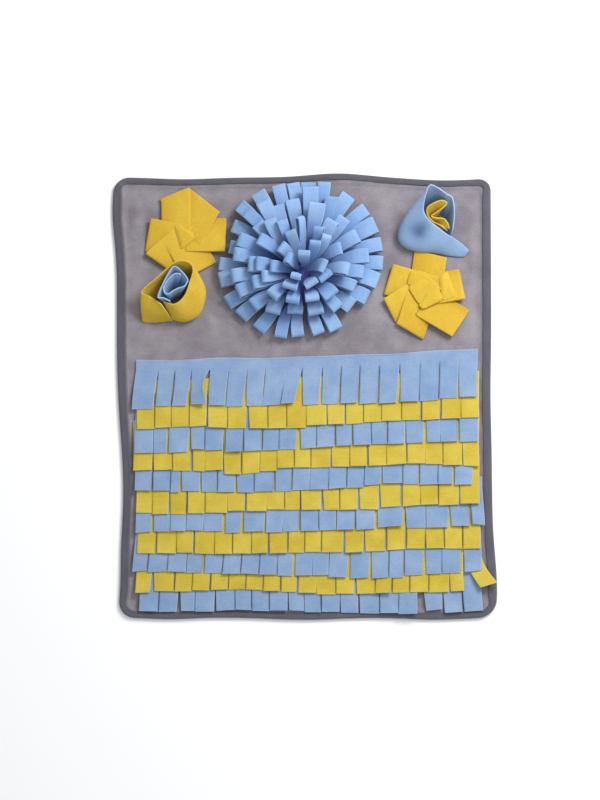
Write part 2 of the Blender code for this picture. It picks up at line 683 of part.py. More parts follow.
main()
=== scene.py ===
# %% [markdown]
# # A snuffle mat
# A dog's snuffle mat is a fleece mat bound all round with tape.  Strips of cut fringe, a looped
# pompom, two flowers folded from strips and two wrapped buds are sewn on it, and treats are hidden
# among them.  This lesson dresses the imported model: every soft solid in it is replaced by cloth
# with folds, cut edges, knit ribs and stitches.

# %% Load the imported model
import math
import random
from collections import namedtuple
from functools import partial

import bmesh
import bpy
from mathutils import Matrix, Vector, noise


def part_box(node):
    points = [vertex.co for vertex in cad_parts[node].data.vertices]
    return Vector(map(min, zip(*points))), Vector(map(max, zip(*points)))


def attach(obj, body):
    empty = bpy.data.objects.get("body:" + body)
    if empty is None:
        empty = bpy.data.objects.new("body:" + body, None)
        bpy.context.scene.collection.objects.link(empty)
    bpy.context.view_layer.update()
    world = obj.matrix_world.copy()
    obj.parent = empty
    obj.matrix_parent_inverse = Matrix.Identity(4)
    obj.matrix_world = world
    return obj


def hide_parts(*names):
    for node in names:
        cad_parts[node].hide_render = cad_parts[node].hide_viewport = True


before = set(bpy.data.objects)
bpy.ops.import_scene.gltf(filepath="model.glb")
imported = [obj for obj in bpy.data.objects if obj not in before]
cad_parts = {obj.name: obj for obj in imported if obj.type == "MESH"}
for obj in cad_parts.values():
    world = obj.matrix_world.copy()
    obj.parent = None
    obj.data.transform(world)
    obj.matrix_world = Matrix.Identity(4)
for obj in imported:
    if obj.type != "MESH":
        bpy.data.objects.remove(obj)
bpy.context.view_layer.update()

scene = bpy.context.scene
print("packed nodes:", len(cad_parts))

# %% [markdown]
# ## Camera
# The mat lies on the floor and is seen from above its lower edge.  A very long lens from far away
# keeps the sides parallel.

# %% Camera
CAMERA_AIM = Vector((-0.0053, -0.0057, 0.0))
CAMERA_RISE = math.radians(78)
CAMERA_AWAY = 12.0
CAMERA_LENS = 540.0
SENSOR_WIDTH = 36.0

camera_data = bpy.data.cameras.new("camera")
camera_data.sensor_fit = "HORIZONTAL"
camera_data.sensor_width = SENSOR_WIDTH
camera_data.lens = CAMERA_LENS
camera = bpy.data.objects.new("camera", camera_data)
backwards = Vector((0, -math.cos(CAMERA_RISE), math.sin(CAMERA_RISE)))
camera.location = CAMERA_AIM + CAMERA_AWAY * backwards
camera.rotation_euler = (math.pi / 2 - CAMERA_RISE, 0, 0)
scene.collection.objects.link(camera)
scene.camera = camera
print("camera at", [round(c, 3) for c in camera.location])

# %% [markdown]
# ## Light and floor
# The strongest of three soft lights stands beyond the mat's upper right corner, so tips and loops
# throw short shadows towards the viewer.  One overhead and one on the near side open the shadows,
# and pale surroundings fill the rest.  The floor lies a hair below the mat.

# %% Light and floor
# Each light has a name, a place, a size in metres and a power in watts.
LIGHTS = (
    ("window", (0.92, 0.95, 1.25), 0.7, 30.5),
    ("ceiling", (0.6, -0.2, 2.6), 2.0, 10.0),
    ("near side", (0.3, -1.7, 1.2), 1.6, 6.0),
)
ROOM_COLOUR = (0.96, 0.98, 1.0, 1.0)
ROOM_STRENGTH = 0.52
FLOOR_COLOUR = (0.93, 0.93, 0.93, 1)
FLOOR_ROUGHNESS = 0.9
FLOOR_SIZE = 8.0
FLOOR_DROP = 0.0004


def soft_light(name, place, size, power):
    data = bpy.data.lights.new(name, "AREA")
    data.shape = "SQUARE"
    data.size = size
    data.energy = power
    light = bpy.data.objects.new(name, data)
    light.location = place
    light.rotation_euler = (-Vector(place)).to_track_quat("-Z", "Y").to_euler()
    scene.collection.objects.link(light)


for light in LIGHTS:
    soft_light(*light)

world = bpy.data.worlds.new("pale room")
world.use_nodes = True
room = world.node_tree.nodes["Background"]
room.inputs["Color"].default_value = ROOM_COLOUR
room.inputs["Strength"].default_value = ROOM_STRENGTH
scene.world = world
scene.view_settings.view_transform = "Standard"
scene.view_settings.look = "None"

floor_bm = bmesh.new()
bmesh.ops.create_grid(floor_bm, x_segments=1, y_segments=1, size=FLOOR_SIZE)
bmesh.ops.translate(floor_bm, vec=(0, 0, -FLOOR_DROP), verts=floor_bm.verts)
floor_mesh = bpy.data.meshes.new("floor")
floor_bm.to_mesh(floor_mesh)
floor_bm.free()
floor = bpy.data.objects.new("floor", floor_mesh)
scene.collection.objects.link(floor)
floor_paint = bpy.data.materials.new("floor paint")
floor_paint.use_nodes = True
paint = floor_paint.node_tree.nodes["Principled BSDF"]
paint.inputs["Base Color"].default_value = FLOOR_COLOUR
paint.inputs["Roughness"].default_value = FLOOR_ROUGHNESS
floor_mesh.materials.append(floor_paint)
print("soft lights:", len(LIGHTS), "and a floor")

# %% [markdown]
# ## Fleece
# Fleece is knitted and then brushed.  From a step away it is matt with a soft bloom; closer, the
# knit shows as fine ribs under a short nap, and a cut edge is paler because it shows the loose
# ends of the fibres.  Every fleece shares these effects, so they are one node group, and each
# material gives it its own colours.  A few helpers keep the making of nodes short.

# %% Helpers for shader nodes
def new_group(name, vectors, numbers, colours):
    """A shader node group with these inputs.  It gives a colour, a roughness and a height."""
    group = bpy.data.node_groups.new(name, "ShaderNodeTree")
    kinds = {"NodeSocketVector": vectors, "NodeSocketFloat": numbers, "NodeSocketColor": colours}
    for kind, labels in kinds.items():
        for label in labels:
            group.interface.new_socket(name=label, in_out="INPUT", socket_type=kind)
    for label, kind in (("Colour", "Color"), ("Roughness", "Float"), ("Height", "Float")):
        group.interface.new_socket(name=label, in_out="OUTPUT", socket_type="NodeSocket" + kind)
    given = group.nodes.new("NodeGroupInput")
    made = group.nodes.new("NodeGroupOutput")
    return group, given.outputs, made.inputs


def math_node(tree, operation, *values, clamp=False):
    node = tree.nodes.new("ShaderNodeMath")
    node.operation = operation
    node.use_clamp = clamp
    for socket, value in zip(node.inputs, values):
        if isinstance(value, (int, float)):
            socket.default_value = value
        else:
            tree.links.new(value, socket)
    return node.outputs[0]


def offset_node(tree, value, middle, weight):
    """How far a value is from its middle, weighted."""
    return math_node(tree, "MULTIPLY", math_node(tree, "SUBTRACT", value, middle), weight)


def noise_node(tree, place, grain):
    """Noise at a place; a grain is its waves to a metre, its detail and its roughness."""
    node = tree.nodes.new("ShaderNodeTexNoise")
    for label, value in zip(("Scale", "Detail", "Roughness"), grain):
        node.inputs[label].default_value = value
    tree.links.new(place, node.inputs["Vector"])
    return node.outputs["Fac"]


def mix_colours(tree, share, first, second):
    node = tree.nodes.new("ShaderNodeMix")
    node.data_type = "RGBA"
    for number, value in zip((0, 6, 7), (share, first, second)):
        tree.links.new(value, node.inputs[number])
    return node.outputs[2]


print("helpers: group, maths, noise and colour mix")

# %% [markdown]
# ### The fleece effect
# The ribs follow the cloth's own UV map, which is in metres, and the nap reads Object coordinates,
# so it has no seams.  Ribs, nap and tufts raise the cloth and lighten it together; clouds wear it
# unevenly.  Marks on the cloth's points then turn cut edges pale, and paint shade with a deep colour
# where shade falls: in closed slits, creases, hollows and round the roots of loops.

# %% The fleece effect
KNIT_WOBBLE = 0.0016
KNIT_COLUMN = 0.0011
WOBBLE = (160, 1, 0.5)
NAP = (1500, 3, 0.65)
TUFTS = (420, 2, 0.6)
CLOUDS = (38, 3, 0.55)


def make_fleece_group():
    group, given, made = new_group(
        "brushed knit",
        vectors=("Cloth Place", "Object Place"),
        numbers=("Cut Edge", "Tucked", "Tone", "Rib Width", "Rib Depth", "Mottle"),
        colours=("Colour", "Nap Colour", "Edge Colour", "Painted Shade Colour"),
    )
    link = group.links.new
    calc = partial(math_node, group)
    offset = partial(offset_node, group)
    grain = partial(noise_node, group, given["Object Place"])
    apart = group.nodes.new("ShaderNodeSeparateXYZ")
    link(given["Cloth Place"], apart.inputs[0])
    along = calc("ADD", apart.outputs["Y"], calc("MULTIPLY", grain(WOBBLE), KNIT_WOBBLE))
    turns = calc("DIVIDE", calc("MULTIPLY", along, 2 * math.pi), given["Rib Width"])
    ribs = calc("MULTIPLY_ADD", calc("SINE", turns), 0.5, 0.5)
    columns = calc("SINE", calc("MULTIPLY", apart.outputs["X"], 2 * math.pi / KNIT_COLUMN))
    nap, tufts, clouds = grain(NAP), grain(TUFTS), grain(CLOUDS)

    knit = calc("MULTIPLY", ribs, given["Rib Depth"])
    stitches = calc("MULTIPLY", calc("MULTIPLY", columns, knit), 0.25)
    height = calc("ADD", calc("ADD", knit, stitches), calc("MULTIPLY", nap, 0.55))
    link(calc("ADD", height, calc("MULTIPLY", tufts, 0.55)), made["Height"])

    light = calc("ADD", offset(nap, 0.36, 1.6), offset(tufts, 0.5, 0.8))
    light = calc("ADD", light, offset(ribs, 0.5, given["Rib Depth"]))
    light = calc("ADD", light, given["Tone"])
    worn = calc("MULTIPLY", offset(clouds, 0.36, given["Mottle"]), 2.2)
    share = calc("ADD", light, worn, clamp=True)
    body = mix_colours(group, share, given["Colour"], given["Nap Colour"])
    frayed = calc("ADD", calc("MULTIPLY", tufts, 1.1), 0.25)
    ragged = calc("MULTIPLY", given["Cut Edge"], frayed, clamp=True)
    edged = mix_colours(group, ragged, body, given["Edge Colour"])
    uneven = calc("ADD", calc("MULTIPLY", tufts, 0.5), 0.75)
    # Painted shade: where the painted shade mark is set, the colour is darkened towards the shade colour.
    tucked = calc("MULTIPLY", given["Tucked"], uneven, clamp=True)
    link(mix_colours(group, tucked, edged, given["Painted Shade Colour"]), made["Colour"])
    link(calc("ADD", calc("MULTIPLY", tufts, 0.12), 0.84), made["Roughness"])
    return group


fleece_group = make_fleece_group()
print("fleece group:", len(fleece_group.nodes), "nodes")

# %% [markdown]
# ### Fleece materials
# The materials keep the shader itself.  Sheen gives fleece its bloom: fibres that stand up catch
# light at the rim of every fold.  It is the same all over, so it is set on the shader's socket.

# %% Fleece materials
FLEECE_RELIEF = 0.0007
SHINE = 0.2
Fleece = namedtuple("Fleece", "colour nap edge deep rib_width rib_depth mottle sheen bump")
# The fourth colour of each fleece is the colour of painted shade, for creases, slits and hollows.
FLEECES = {
    "grey fleece": Fleece(
        (0.190, 0.168, 0.192), (0.285, 0.260, 0.287), (0.37, 0.35, 0.38), (0.09, 0.08, 0.10),
        0.0024, 0.22, 0.9, 0.10, 0.6,
    ),
    "row blue": Fleece(
        (0.176, 0.278, 0.458), (0.275, 0.372, 0.535), (0.40, 0.54, 0.74), (0.030, 0.060, 0.13),
        0.0018, 0.30, 0.8, 0.10, 0.6,
    ),
    "row yellow": Fleece(
        (0.478, 0.350, 0.032), (0.605, 0.480, 0.074), (0.70, 0.58, 0.16), (0.120, 0.075, 0.01),
        0.0018, 0.35, 0.8, 0.06, 0.6,
    ),
    "pompom blue": Fleece(
        (0.178, 0.325, 0.595), (0.285, 0.432, 0.675), (0.38, 0.54, 0.78), (0.065, 0.080, 0.30),
        0.0018, 0.30, 0.7, 0.14, 0.8,
    ),
    "bud blue": Fleece(
        (0.225, 0.355, 0.575), (0.315, 0.450, 0.655), (0.45, 0.60, 0.82), (0.050, 0.100, 0.22),
        0.0018, 0.15, 0.5, 0.12, 0.6,
    ),
    "flower yellow": Fleece(
        (0.553, 0.344, 0.029), (0.680, 0.495, 0.060), (0.76, 0.60, 0.12), (0.330, 0.140, 0.01),
        0.0018, 0.18, 0.4, 0.08, 0.6,
    ),
}


def cloth_material(name, group, inputs, bump, relief):
    """A material fed by a group, and its shader.  An input is a mark's name, a colour or a number."""
    material = bpy.data.materials.new(name)
    material.use_nodes = True
    tree = material.node_tree
    shader = tree.nodes["Principled BSDF"]
    effect = tree.nodes.new("ShaderNodeGroup")
    effect.node_tree = group
    cloth_place = tree.nodes.new("ShaderNodeUVMap")
    cloth_place.uv_map = "cloth"
    object_place = tree.nodes.new("ShaderNodeTexCoord")
    bumped = tree.nodes.new("ShaderNodeBump")
    bumped.inputs["Strength"].default_value = bump
    bumped.inputs["Distance"].default_value = relief
    for output, target in (
        (cloth_place.outputs["UV"], effect.inputs["Cloth Place"]),
        (object_place.outputs["Object"], effect.inputs["Object Place"]),
        (effect.outputs["Height"], bumped.inputs["Height"]),
        (effect.outputs["Colour"], shader.inputs["Base Color"]),
        (effect.outputs["Roughness"], shader.inputs["Roughness"]),
        (bumped.outputs["Normal"], shader.inputs["Normal"]),
    ):
        tree.links.new(output, target)
    for label, value in inputs.items():
        if isinstance(value, str):
            mark = tree.nodes.new("ShaderNodeAttribute")
            mark.attribute_name = value
            tree.links.new(mark.outputs["Fac"], effect.inputs[label])
        else:
            effect.inputs[label].default_value = (*value, 1) if isinstance(value, tuple) else value
    shader.inputs["Specular IOR Level"].default_value = SHINE
    return material, shader


def fleece_material(name):
    cloth = FLEECES[name]
    inputs = {
        "Cut Edge": "cut",
        "Tucked": "tucked",
        "Tone": "tone",
        "Colour": cloth.colour,
        "Nap Colour": cloth.nap,
        "Edge Colour": cloth.edge,
        "Painted Shade Colour": cloth.deep,
        "Rib Width": cloth.rib_width,
        "Rib Depth": cloth.rib_depth,
        "Mottle": cloth.mottle,
    }
    material, shader = cloth_material(name, fleece_group, inputs, cloth.bump, FLEECE_RELIEF)
    shader.inputs["Sheen Weight"].default_value = cloth.sheen
    shader.inputs["Sheen Roughness"].default_value = 0.5
    shader.inputs["Sheen Tint"].default_value = (*(0.5 + c / 2 for c in cloth.nap), 1)
    return material


materials = {name: fleece_material(name) for name in FLEECES}
print("fleece materials:", ", ".join(materials))

# %% [markdown]
# ## Binding tape and thread
# The binding is a woven tape, flatter and darker than fleece.  Its weave is a fine twill: diagonal
# ribs made from the two directions of its UV map.  The fold along the mat's edge is rubbed a
# little paler.  Thread is twisted, so its colour is broken by a slanting stripe.

# %% Tape and thread materials
TWILL_SLANT = 0.8
FUZZ = (1800, 2, 0.6)
FADED = (30, 3, 0.5)
WOVEN_RELIEF = 0.0004
Woven = namedtuple("Woven", "colour rubbed thread bump")
WOVENS = {
    "binding tape": Woven((0.098, 0.096, 0.116), (0.160, 0.157, 0.185), 0.0011, 0.6),
    "grey thread": Woven((0.070, 0.068, 0.085), (0.125, 0.120, 0.145), 0.0006, 0.8),
    "blue thread": Woven((0.21, 0.35, 0.62), (0.36, 0.52, 0.80), 0.0006, 0.8),
}


def make_tape_group():
    group, given, made = new_group(
        "woven tape",
        vectors=("Cloth Place", "Object Place"),
        numbers=("Rubbed", "Thread Width"),
        colours=("Colour", "Rubbed Colour"),
    )
    link = group.links.new
    calc = partial(math_node, group)
    grain = partial(noise_node, group, given["Object Place"])
    apart = group.nodes.new("ShaderNodeSeparateXYZ")
    link(given["Cloth Place"], apart.inputs[0])

    def wave(value):
        turns = calc("DIVIDE", calc("MULTIPLY", value, 2 * math.pi), given["Thread Width"])
        return calc("SINE", turns)

    twill = wave(calc("ADD", apart.outputs["X"], calc("MULTIPLY", apart.outputs["Y"], TWILL_SLANT)))
    across = wave(apart.outputs["X"])
    fuzz, faded = grain(FUZZ), grain(FADED)
    height = calc("ADD", calc("MULTIPLY", twill, 0.35), calc("MULTIPLY", across, 0.12))
    link(calc("ADD", height, calc("MULTIPLY", fuzz, 0.6)), made["Height"])
    share = calc("ADD", calc("MULTIPLY", twill, 0.10), calc("MULTIPLY", fuzz, 0.5))
    share = calc("ADD", share, offset_node(group, faded, 0.4, 0.8))
    share = calc("ADD", share, calc("MULTIPLY", given["Rubbed"], 0.45), clamp=True)
    link(mix_colours(group, share, given["Colour"], given["Rubbed Colour"]), made["Colour"])
    link(calc("ADD", calc("MULTIPLY", fuzz, 0.2), 0.62), made["Roughness"])
    return group


def woven_material(name):
    cloth = WOVENS[name]
    inputs = {
        "Rubbed": "cut",
        "Colour": cloth.colour,
        "Rubbed Colour": cloth.rubbed,
        "Thread Width": cloth.thread,
    }
    material, shader = cloth_material(name, tape_group, inputs, cloth.bump, WOVEN_RELIEF)
    shader.inputs["Sheen Weight"].default_value = 0.06
    shader.inputs["Sheen Roughness"].default_value = 0.4
    return material


tape_group = make_tape_group()
materials |= {name: woven_material(name) for name in WOVENS}
print("materials:", len(materials))

# %% [markdown]
# ## Making cloth
# A sheet of cloth starts as an open grid.  Each point carries with it where it lies on the flat
# cloth, in metres, as its UV, and three marks for the material: how near it is to a cut edge, how
# much shade is painted on it where it is tucked between its neighbours, and how light its nap is
# brushed.  Solidify gives the grid its thickness, and one level of subdivision rounds the rims, as
# soft fleece has no sharp edge.

# %% Cloth helpers
# Two thicknesses, and the breadth of the pale band along a cut edge, in metres.
FLEECE = 0.0015
LOOP_FLEECE = 0.0018
CUT_BAND = 0.0009
BEND_STEPS = 6
Marks = namedtuple("Marks", "cut tucked tone", defaults=(0.0, 0.0, 0.0))


def new_cloth():
    bm = bmesh.new()
    bm.loops.layers.uv.new("cloth")
    for mark in Marks._fields:
        bm.verts.layers.float.new(mark)
    return bm


def add_grid(bm, rows):
    """Adds a grid of cloth.  An entry is (point, (u, v), marks); a point may be an earlier vertex."""
    uv_layer = bm.loops.layers.uv["cloth"]
    mark_layers = [bm.verts.layers.float[mark] for mark in Marks._fields]
    verts = []
    places = {}
    for row in rows:
        line = []
        for point, place, marks in row:
            vert = point if isinstance(point, bmesh.types.BMVert) else bm.verts.new(point)
            for layer, value in zip(mark_layers, marks):
                vert[layer] = value
            places[vert] = place
            line.append(vert)
        verts.append(line)
    for lower, upper in zip(verts, verts[1:]):
        for n in range(len(lower) - 1):
            face = bm.faces.new((lower[n], lower[n + 1], upper[n + 1], upper[n]))
            for loop in face.loops:
                loop[uv_layer].uv = places[loop.vert]
    return verts


def finish_piece(name, bm, material, thickness=None, offset=0.0, rounds=1, even=True):
    """Turns the bmesh into a piece of the object, with its thickness and rounding as modifiers."""
    mesh = bpy.data.meshes.new(name)
    bm.to_mesh(mesh)
    bm.free()
    mesh.materials.append(materials[material])
    mesh.shade_smooth()
    piece = bpy.data.objects.new(name, mesh)
    scene.collection.objects.link(piece)
    if thickness:
        solidify = piece.modifiers.new("thickness", "SOLIDIFY")
        solidify.thickness = thickness
        solidify.offset = offset
        solidify.use_even_offset = even
        solidify.use_quality_normals = True
    if rounds:
        subdivide = piece.modifiers.new("soft edges", "SUBSURF")
        subdivide.levels = rounds
        subdivide.render_levels = rounds
    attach(piece, "root")
    return piece


def ease(value):
    """0 below 0, 1 above 1, and a soft S between."""
    value = max(0.0, min(1.0, value))
    return value * value * (3 - 2 * value)


def blend3(values, share):
    """A curve through the left, middle and right values; share runs from 0 to 1."""
    left, middle, right = values
    rest = 1 - share
    return left * rest * (rest - share) + 4 * middle * share * rest + right * share * (share - rest)


def waver(x, y, density, layer):
    """Smooth noise about 0 at a place, with this many waves to a metre."""
    return noise.noise(Vector((x * density, y * density, layer)))


def bend(points, share):
    """A place on the curve that runs from the first point to the third, drawn to the second."""
    a, b, c = points
    rest = 1 - share
    return a * rest * rest + b * 2 * rest * share + c * share * share


def soft_fold(point, frame_there, shares, width, gap, reach, start, run):
    """The lines of cloth round the end of a fold, from its lower leaf to its upper one.

    A line holds (point, distance along the strip); frame_there is the way out, aside and up.
    """
    out, side, up = frame_there
    lines = []
    for step in range(1, BEND_STEPS):
        angle = math.pi * step / BEND_STEPS - math.pi / 2
        turned = up * (math.sin(angle) * gap / 2) + out * (math.cos(angle) * reach)
        along = start + run * step / BEND_STEPS
        lines.append([(point + side * ((s - 0.5) * width) + turned, along) for s in shares])
    return lines


def fold_over(under, folded, over, whole):
    """The lines of a fold in the order that they have on the flat strip: out and back."""
    return under + folded + [[(p, whole - along) for p, along in line] for line in over[::-1]]


print("cut edges are", CUT_BAND * 1000, "mm wide")

# %% [markdown]
# ## The mat's outline
# The mat is half a metre by sixty centimetres with round corners, but no edge of it is straight:
# binding tape is stretched as it is sewn on and draws the cloth in unevenly.  The outline is a
# rounded rectangle moved by a few soft waves, and a ring can be taken at any distance inside it.

# %% Outline
HALF_WIDTH = 0.250
HALF_LENGTH = 0.300
CLOTH = 0.0026
CLEAR = 0.0003
TAPE = 0.0010
TAPE_COVER = 0.011
TAPE_HEIGHT = 2 * (TAPE + CLEAR) + CLOTH
HEM_NARROWER = 0.0026
HEM_WANDER = 0.0006

Corner = namedtuple("Corner", "x y radius start_deg")
CORNERS = (
    Corner(-1, -1, 0.023, 180),
    Corner(1, -1, 0.024, 270),
    Corner(1, 1, 0.017, 0),
    Corner(-1, 1, 0.019, 90),
)
ARC_STEPS = 12
SIDE_STEPS = (92, 112, 92, 112)
LEAST_RADIUS = 0.008

Wave = namedtuple("Wave", "side at out spread")
WAVES = (
    Wave("left", 0.255, 0.0065, 0.055),
    Wave("left", -0.130, -0.0095, 0.110),
    Wave("left", -0.262, -0.0035, 0.050),
    Wave("right", -0.262, 0.0060, 0.065),
    Wave("right", 0.000, -0.0015, 0.060),
    Wave("top", 0.045, 0.0055, 0.052),
    Wave("top", 0.190, -0.0040, 0.060),
    Wave("top", -0.160, -0.0025, 0.050),
    Wave("bottom", 0.000, 0.0030, 0.060),
    Wave("bottom", 0.170, 0.0028, 0.050),
    Wave("bottom", -0.180, 0.0022, 0.040),
)


def side_wave(side, along):
    return sum(w.out * math.exp(-(((along - w.at) / w.spread) ** 2)) for w in WAVES if w.side == side)


def wander(x, y):
    """The point of a straight-edged mat moved to where this mat's edge really runs."""
    across = max(0.0, min(1.0, (abs(x) / HALF_WIDTH - 0.5) * 2))
    down = max(0.0, min(1.0, (abs(y) / HALF_LENGTH - 0.5) * 2))
    shift_x = side_wave("right", y) * across if x > 0 else -side_wave("left", y) * across
    shift_y = side_wave("top", x) * down if y > 0 else -side_wave("bottom", x) * down
    return Vector((x + shift_x, y + shift_y))


def hem_cover(x, y):
    """How far the tape's upper hem lies in from the edge: less at the upper and lower sides."""
    end = ease((abs(y) - (HALF_LENGTH - 0.030)) / 0.016)
    return TAPE_COVER - HEM_NARROWER * end + waver(x, y, 60, 9) * HEM_WANDER


def corner_arc(corner, inset, steps):
    radius = max(corner.radius - inset, LEAST_RADIUS)
    reach = inset + radius
    centre = Vector((corner.x * (HALF_WIDTH - reach), corner.y * (HALF_LENGTH - reach)))
    angles = [math.radians(corner.start_deg + 90 * step / ARC_STEPS) for step in steps]
    return [centre + radius * Vector((math.cos(a), math.sin(a))) for a in angles]


def outline_ring(inset):
    """Points round the mat at this distance in from its edge, from the lower left corner."""
    points = []
    for corner, following, steps in zip(CORNERS, CORNERS[1:] + CORNERS[:1], SIDE_STEPS):
        arc = corner_arc(corner, inset, range(ARC_STEPS // 2, ARC_STEPS + 1))
        next_arc = corner_arc(following, inset, range(ARC_STEPS // 2))
        side = [arc[-1].lerp(next_arc[0], step / steps) for step in range(1, steps)]
        points += arc + side + next_arc
    return [wander(p.x, p.y) for p in points]


def ring_middle(ring):
    xs = [p.x for p in ring]
    ys = [p.y for p in ring]
    return Vector(((min(xs) + max(xs)) / 2, (min(ys) + max(ys)) / 2))


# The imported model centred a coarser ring, so the shift is taken from its box.
mat_low, mat_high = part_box("binding")
cad_middle = Vector(((mat_low[0] + mat_high[0]) / 2, (mat_low[1] + mat_high[1]) / 2))
MAT_SHIFT = cad_middle - ring_middle(outline_ring(0.0))
print("mat shifted by", [round(c * 1000, 2) for c in MAT_SHIFT], "mm")

# %% [markdown]
# ## The mat's cloth
# One piece of grey fleece.  It lies flat where pieces are sewn on it and rises into the binding at
# its rim.  Where the stitching of the pompom, the buds and the rows pulls on it, the loose cloth
# between them stands up in short soft ridges.  The ridges are listed one by one.

# %% Ridges in the cloth
Ridge = namedtuple("Ridge", "x y angle_deg half_length half_width height")
RIDGES = (
    Ridge(-0.100, 0.103, 122, 0.028, 0.022, 0.0035),
    Ridge(0.092, 0.099, 48, 0.026, 0.018, 0.0030),
    Ridge(0.220, 0.262, 40, 0.028, 0.016, 0.0030),
    Ridge(-0.119, 0.100, 138, 0.034, 0.009, 0.0022),
    Ridge(-0.150, 0.078, 160, 0.040, 0.010, 0.0016),
    Ridge(-0.072, 0.082, 112, 0.022, 0.007, 0.0016),
    Ridge(-0.040, 0.072, 98, 0.016, 0.006, 0.0024),
    Ridge(-0.022, 0.070, 94, 0.013, 0.006, 0.0022),
    Ridge(0.000, 0.070, 88, 0.013, 0.006, 0.0022),
    Ridge(0.024, 0.071, 84, 0.014, 0.006, 0.0022),
    Ridge(-0.126, 0.098, 113, 0.018, 0.007, 0.0026),
    Ridge(-0.116, 0.116, 158, 0.020, 0.007, 0.0020),
    Ridge(0.060, 0.078, 64, 0.020, 0.007, 0.0016),
    Ridge(0.118, 0.092, 28, 0.030, 0.010, 0.0016),
    Ridge(0.095, 0.225, 150, 0.022, 0.008, 0.0014),
    Ridge(0.112, 0.262, 20, 0.030, 0.012, 0.0016),
    Ridge(-0.095, 0.268, 165, 0.026, 0.010, 0.0014),
    Ridge(-0.215, 0.205, 80, 0.034, 0.010, 0.0016),
    Ridge(-0.212, 0.094, 70, 0.022, 0.009, 0.0012),
    Ridge(0.222, 0.100, 96, 0.030, 0.009, 0.0014),
    Ridge(0.226, 0.196, 100, 0.026, 0.009, 0.0012),
)
FLAT_INSET = 0.0145
SQUARE_INSET = 0.0185

# Sewn-on pieces hold the cloth flat: x, y and radius, in metres.
HELD_FLAT = (
    (-0.154, 0.218, 0.064), (0.173, 0.136, 0.068), (-0.175, 0.127, 0.044), (0.166, 0.218, 0.046),
    (0.0, 0.164, 0.050),
)
FIRST_ROW_AT = 0.072

# Loose cloth is rumpled by two noises: how high, how many waves to a metre, and which layer.
RUMPLES = ((0.0056, 16, 2.0), (0.0022, 41, 6.0))
RUMPLE_LIFT = 0.0014


def looseness(x, y):
    """0 where the cloth is held down, 1 where it is free to stand up."""
    free = ease((y - FIRST_ROW_AT) / 0.02)
    for at_x, at_y, radius in HELD_FLAT:
        free *= ease((math.dist((x, y), (at_x, at_y)) - radius) / 0.018)
    return free


def ridge_height(x, y):
    height = 0.0
    for r in RIDGES:
        along = Vector((math.cos(math.radians(r.angle_deg)), math.sin(math.radians(r.angle_deg))))
        offset = Vector((x - r.x, y - r.y))
        u = offset.dot(along) / r.half_length
        v = (offset.x * along.y - offset.y * along.x) / r.half_width
        if abs(u) < 1 and abs(v) < 1:
            height += r.height * math.cos(u * math.pi / 2) ** 2 * math.cos(v * math.pi / 2) ** 2
    rumple = sum(most * waver(x, y, density, layer) for most, density, layer in RUMPLES)
    return height + max(0.0, rumple + RUMPLE_LIFT) * looseness(x, y)


def edge_climb(inset):
    """How high the cloth's underside is at this distance in from the mat's edge."""
    return (TAPE + CLEAR) * (1 - ease((inset - TAPE_COVER) / (FLAT_INSET - TAPE_COVER)))


print("ridges:", len(RIDGES))


# %% [markdown]
# ### Laying the mat's cloth
# The inner cloth is a plain grid.  From its edge outwards, rings of the outline follow one another
# under the tape, each a little nearer to the mat's edge and a little higher.  Shade is painted on
# the cloth under the tape's hem and just beside it.

# %% Mat cloth
RIM_INSETS = (FLAT_INSET, 0.0130, TAPE_COVER + 2 * CLEAR, 0.0098, 0.0085, 0.0060, 0.0022)
HEM_SHADE = 0.5


def build_mat_cloth():
    columns = SIDE_STEPS[0] + ARC_STEPS
    rows = SIDE_STEPS[1] + ARC_STEPS
    half_x = HALF_WIDTH - SQUARE_INSET
    half_y = HALF_LENGTH - SQUARE_INSET
    bm = new_cloth()
    grid = []
    for j in range(rows + 1):
        line = []
        for i in range(columns + 1):
            point = wander((2 * i / columns - 1) * half_x, (2 * j / rows - 1) * half_y)
            rim = min(i, columns - i, j, rows - j)
            lift = ridge_height(point.x, point.y) * ease(rim / 3)
            tone = 0.45 * waver(point.x, point.y, 11, 8.0) + 0.3 * waver(point.x, point.y, 31, 1.0)
            line.append(((*(point + MAT_SHIFT), lift), (point.x, point.y), Marks(tone=tone)))
        grid.append(line)
    verts = add_grid(bm, grid)
    right = [line[-1] for line in verts[1:]]
    left = [line[0] for line in verts[-2:0:-1]]
    rim = verts[0] + right + verts[-1][-2::-1] + left
    places = [tuple(vert.co.xy - MAT_SHIFT) for vert in rim]
    marks = [Marks()] * len(rim)
    for inset in RIM_INSETS:
        wider = outline_ring(inset)
        lift = edge_climb(inset)
        made = [bm.verts.new((*(p + MAT_SHIFT), lift)) for p in wider]
        # Painted shade along the tape's hem: the cloth under it and just beside it is darkened.
        under_hem = [ease((hem_cover(p.x, p.y) + 0.0018 - inset) / 0.0016) for p in wider]
        hem_shade_marks = [Marks(tucked=HEM_SHADE * share) for share in under_hem]
        outer = list(zip(made, map(tuple, wider), hem_shade_marks))
        inner = list(zip(rim, places, marks))
        add_grid(bm, (outer + outer[:1], inner + inner[:1]))
        rim, places, marks = made, [entry[1] for entry in outer], hem_shade_marks
    return finish_piece("mat_fleece", bm, "grey fleece", CLOTH, 1.0, rounds=0, even=False)


mat_fleece = build_mat_cloth()
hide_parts("mat_cloth")
print("mat cloth:", len(mat_fleece.data.polygons), "faces before thickness")

# %% [markdown]
# ## Binding
# The tape is folded lengthwise over the cloth's edge, so its section is a narrow U on its side.
# The section is swept round the outline as an open sheet.  Its inner hem isn't quite even, and
# the feed of a sewing machine leaves small ripples along it.

# %% Binding
FOLD_INSET = 0.0060
FOLD_REACH = 0.0026
FOLD_STEPS = 8
LOOSE_INSET = 0.004
HELD_INSET = 0.0035
FEED_RIPPLE = 0.00035


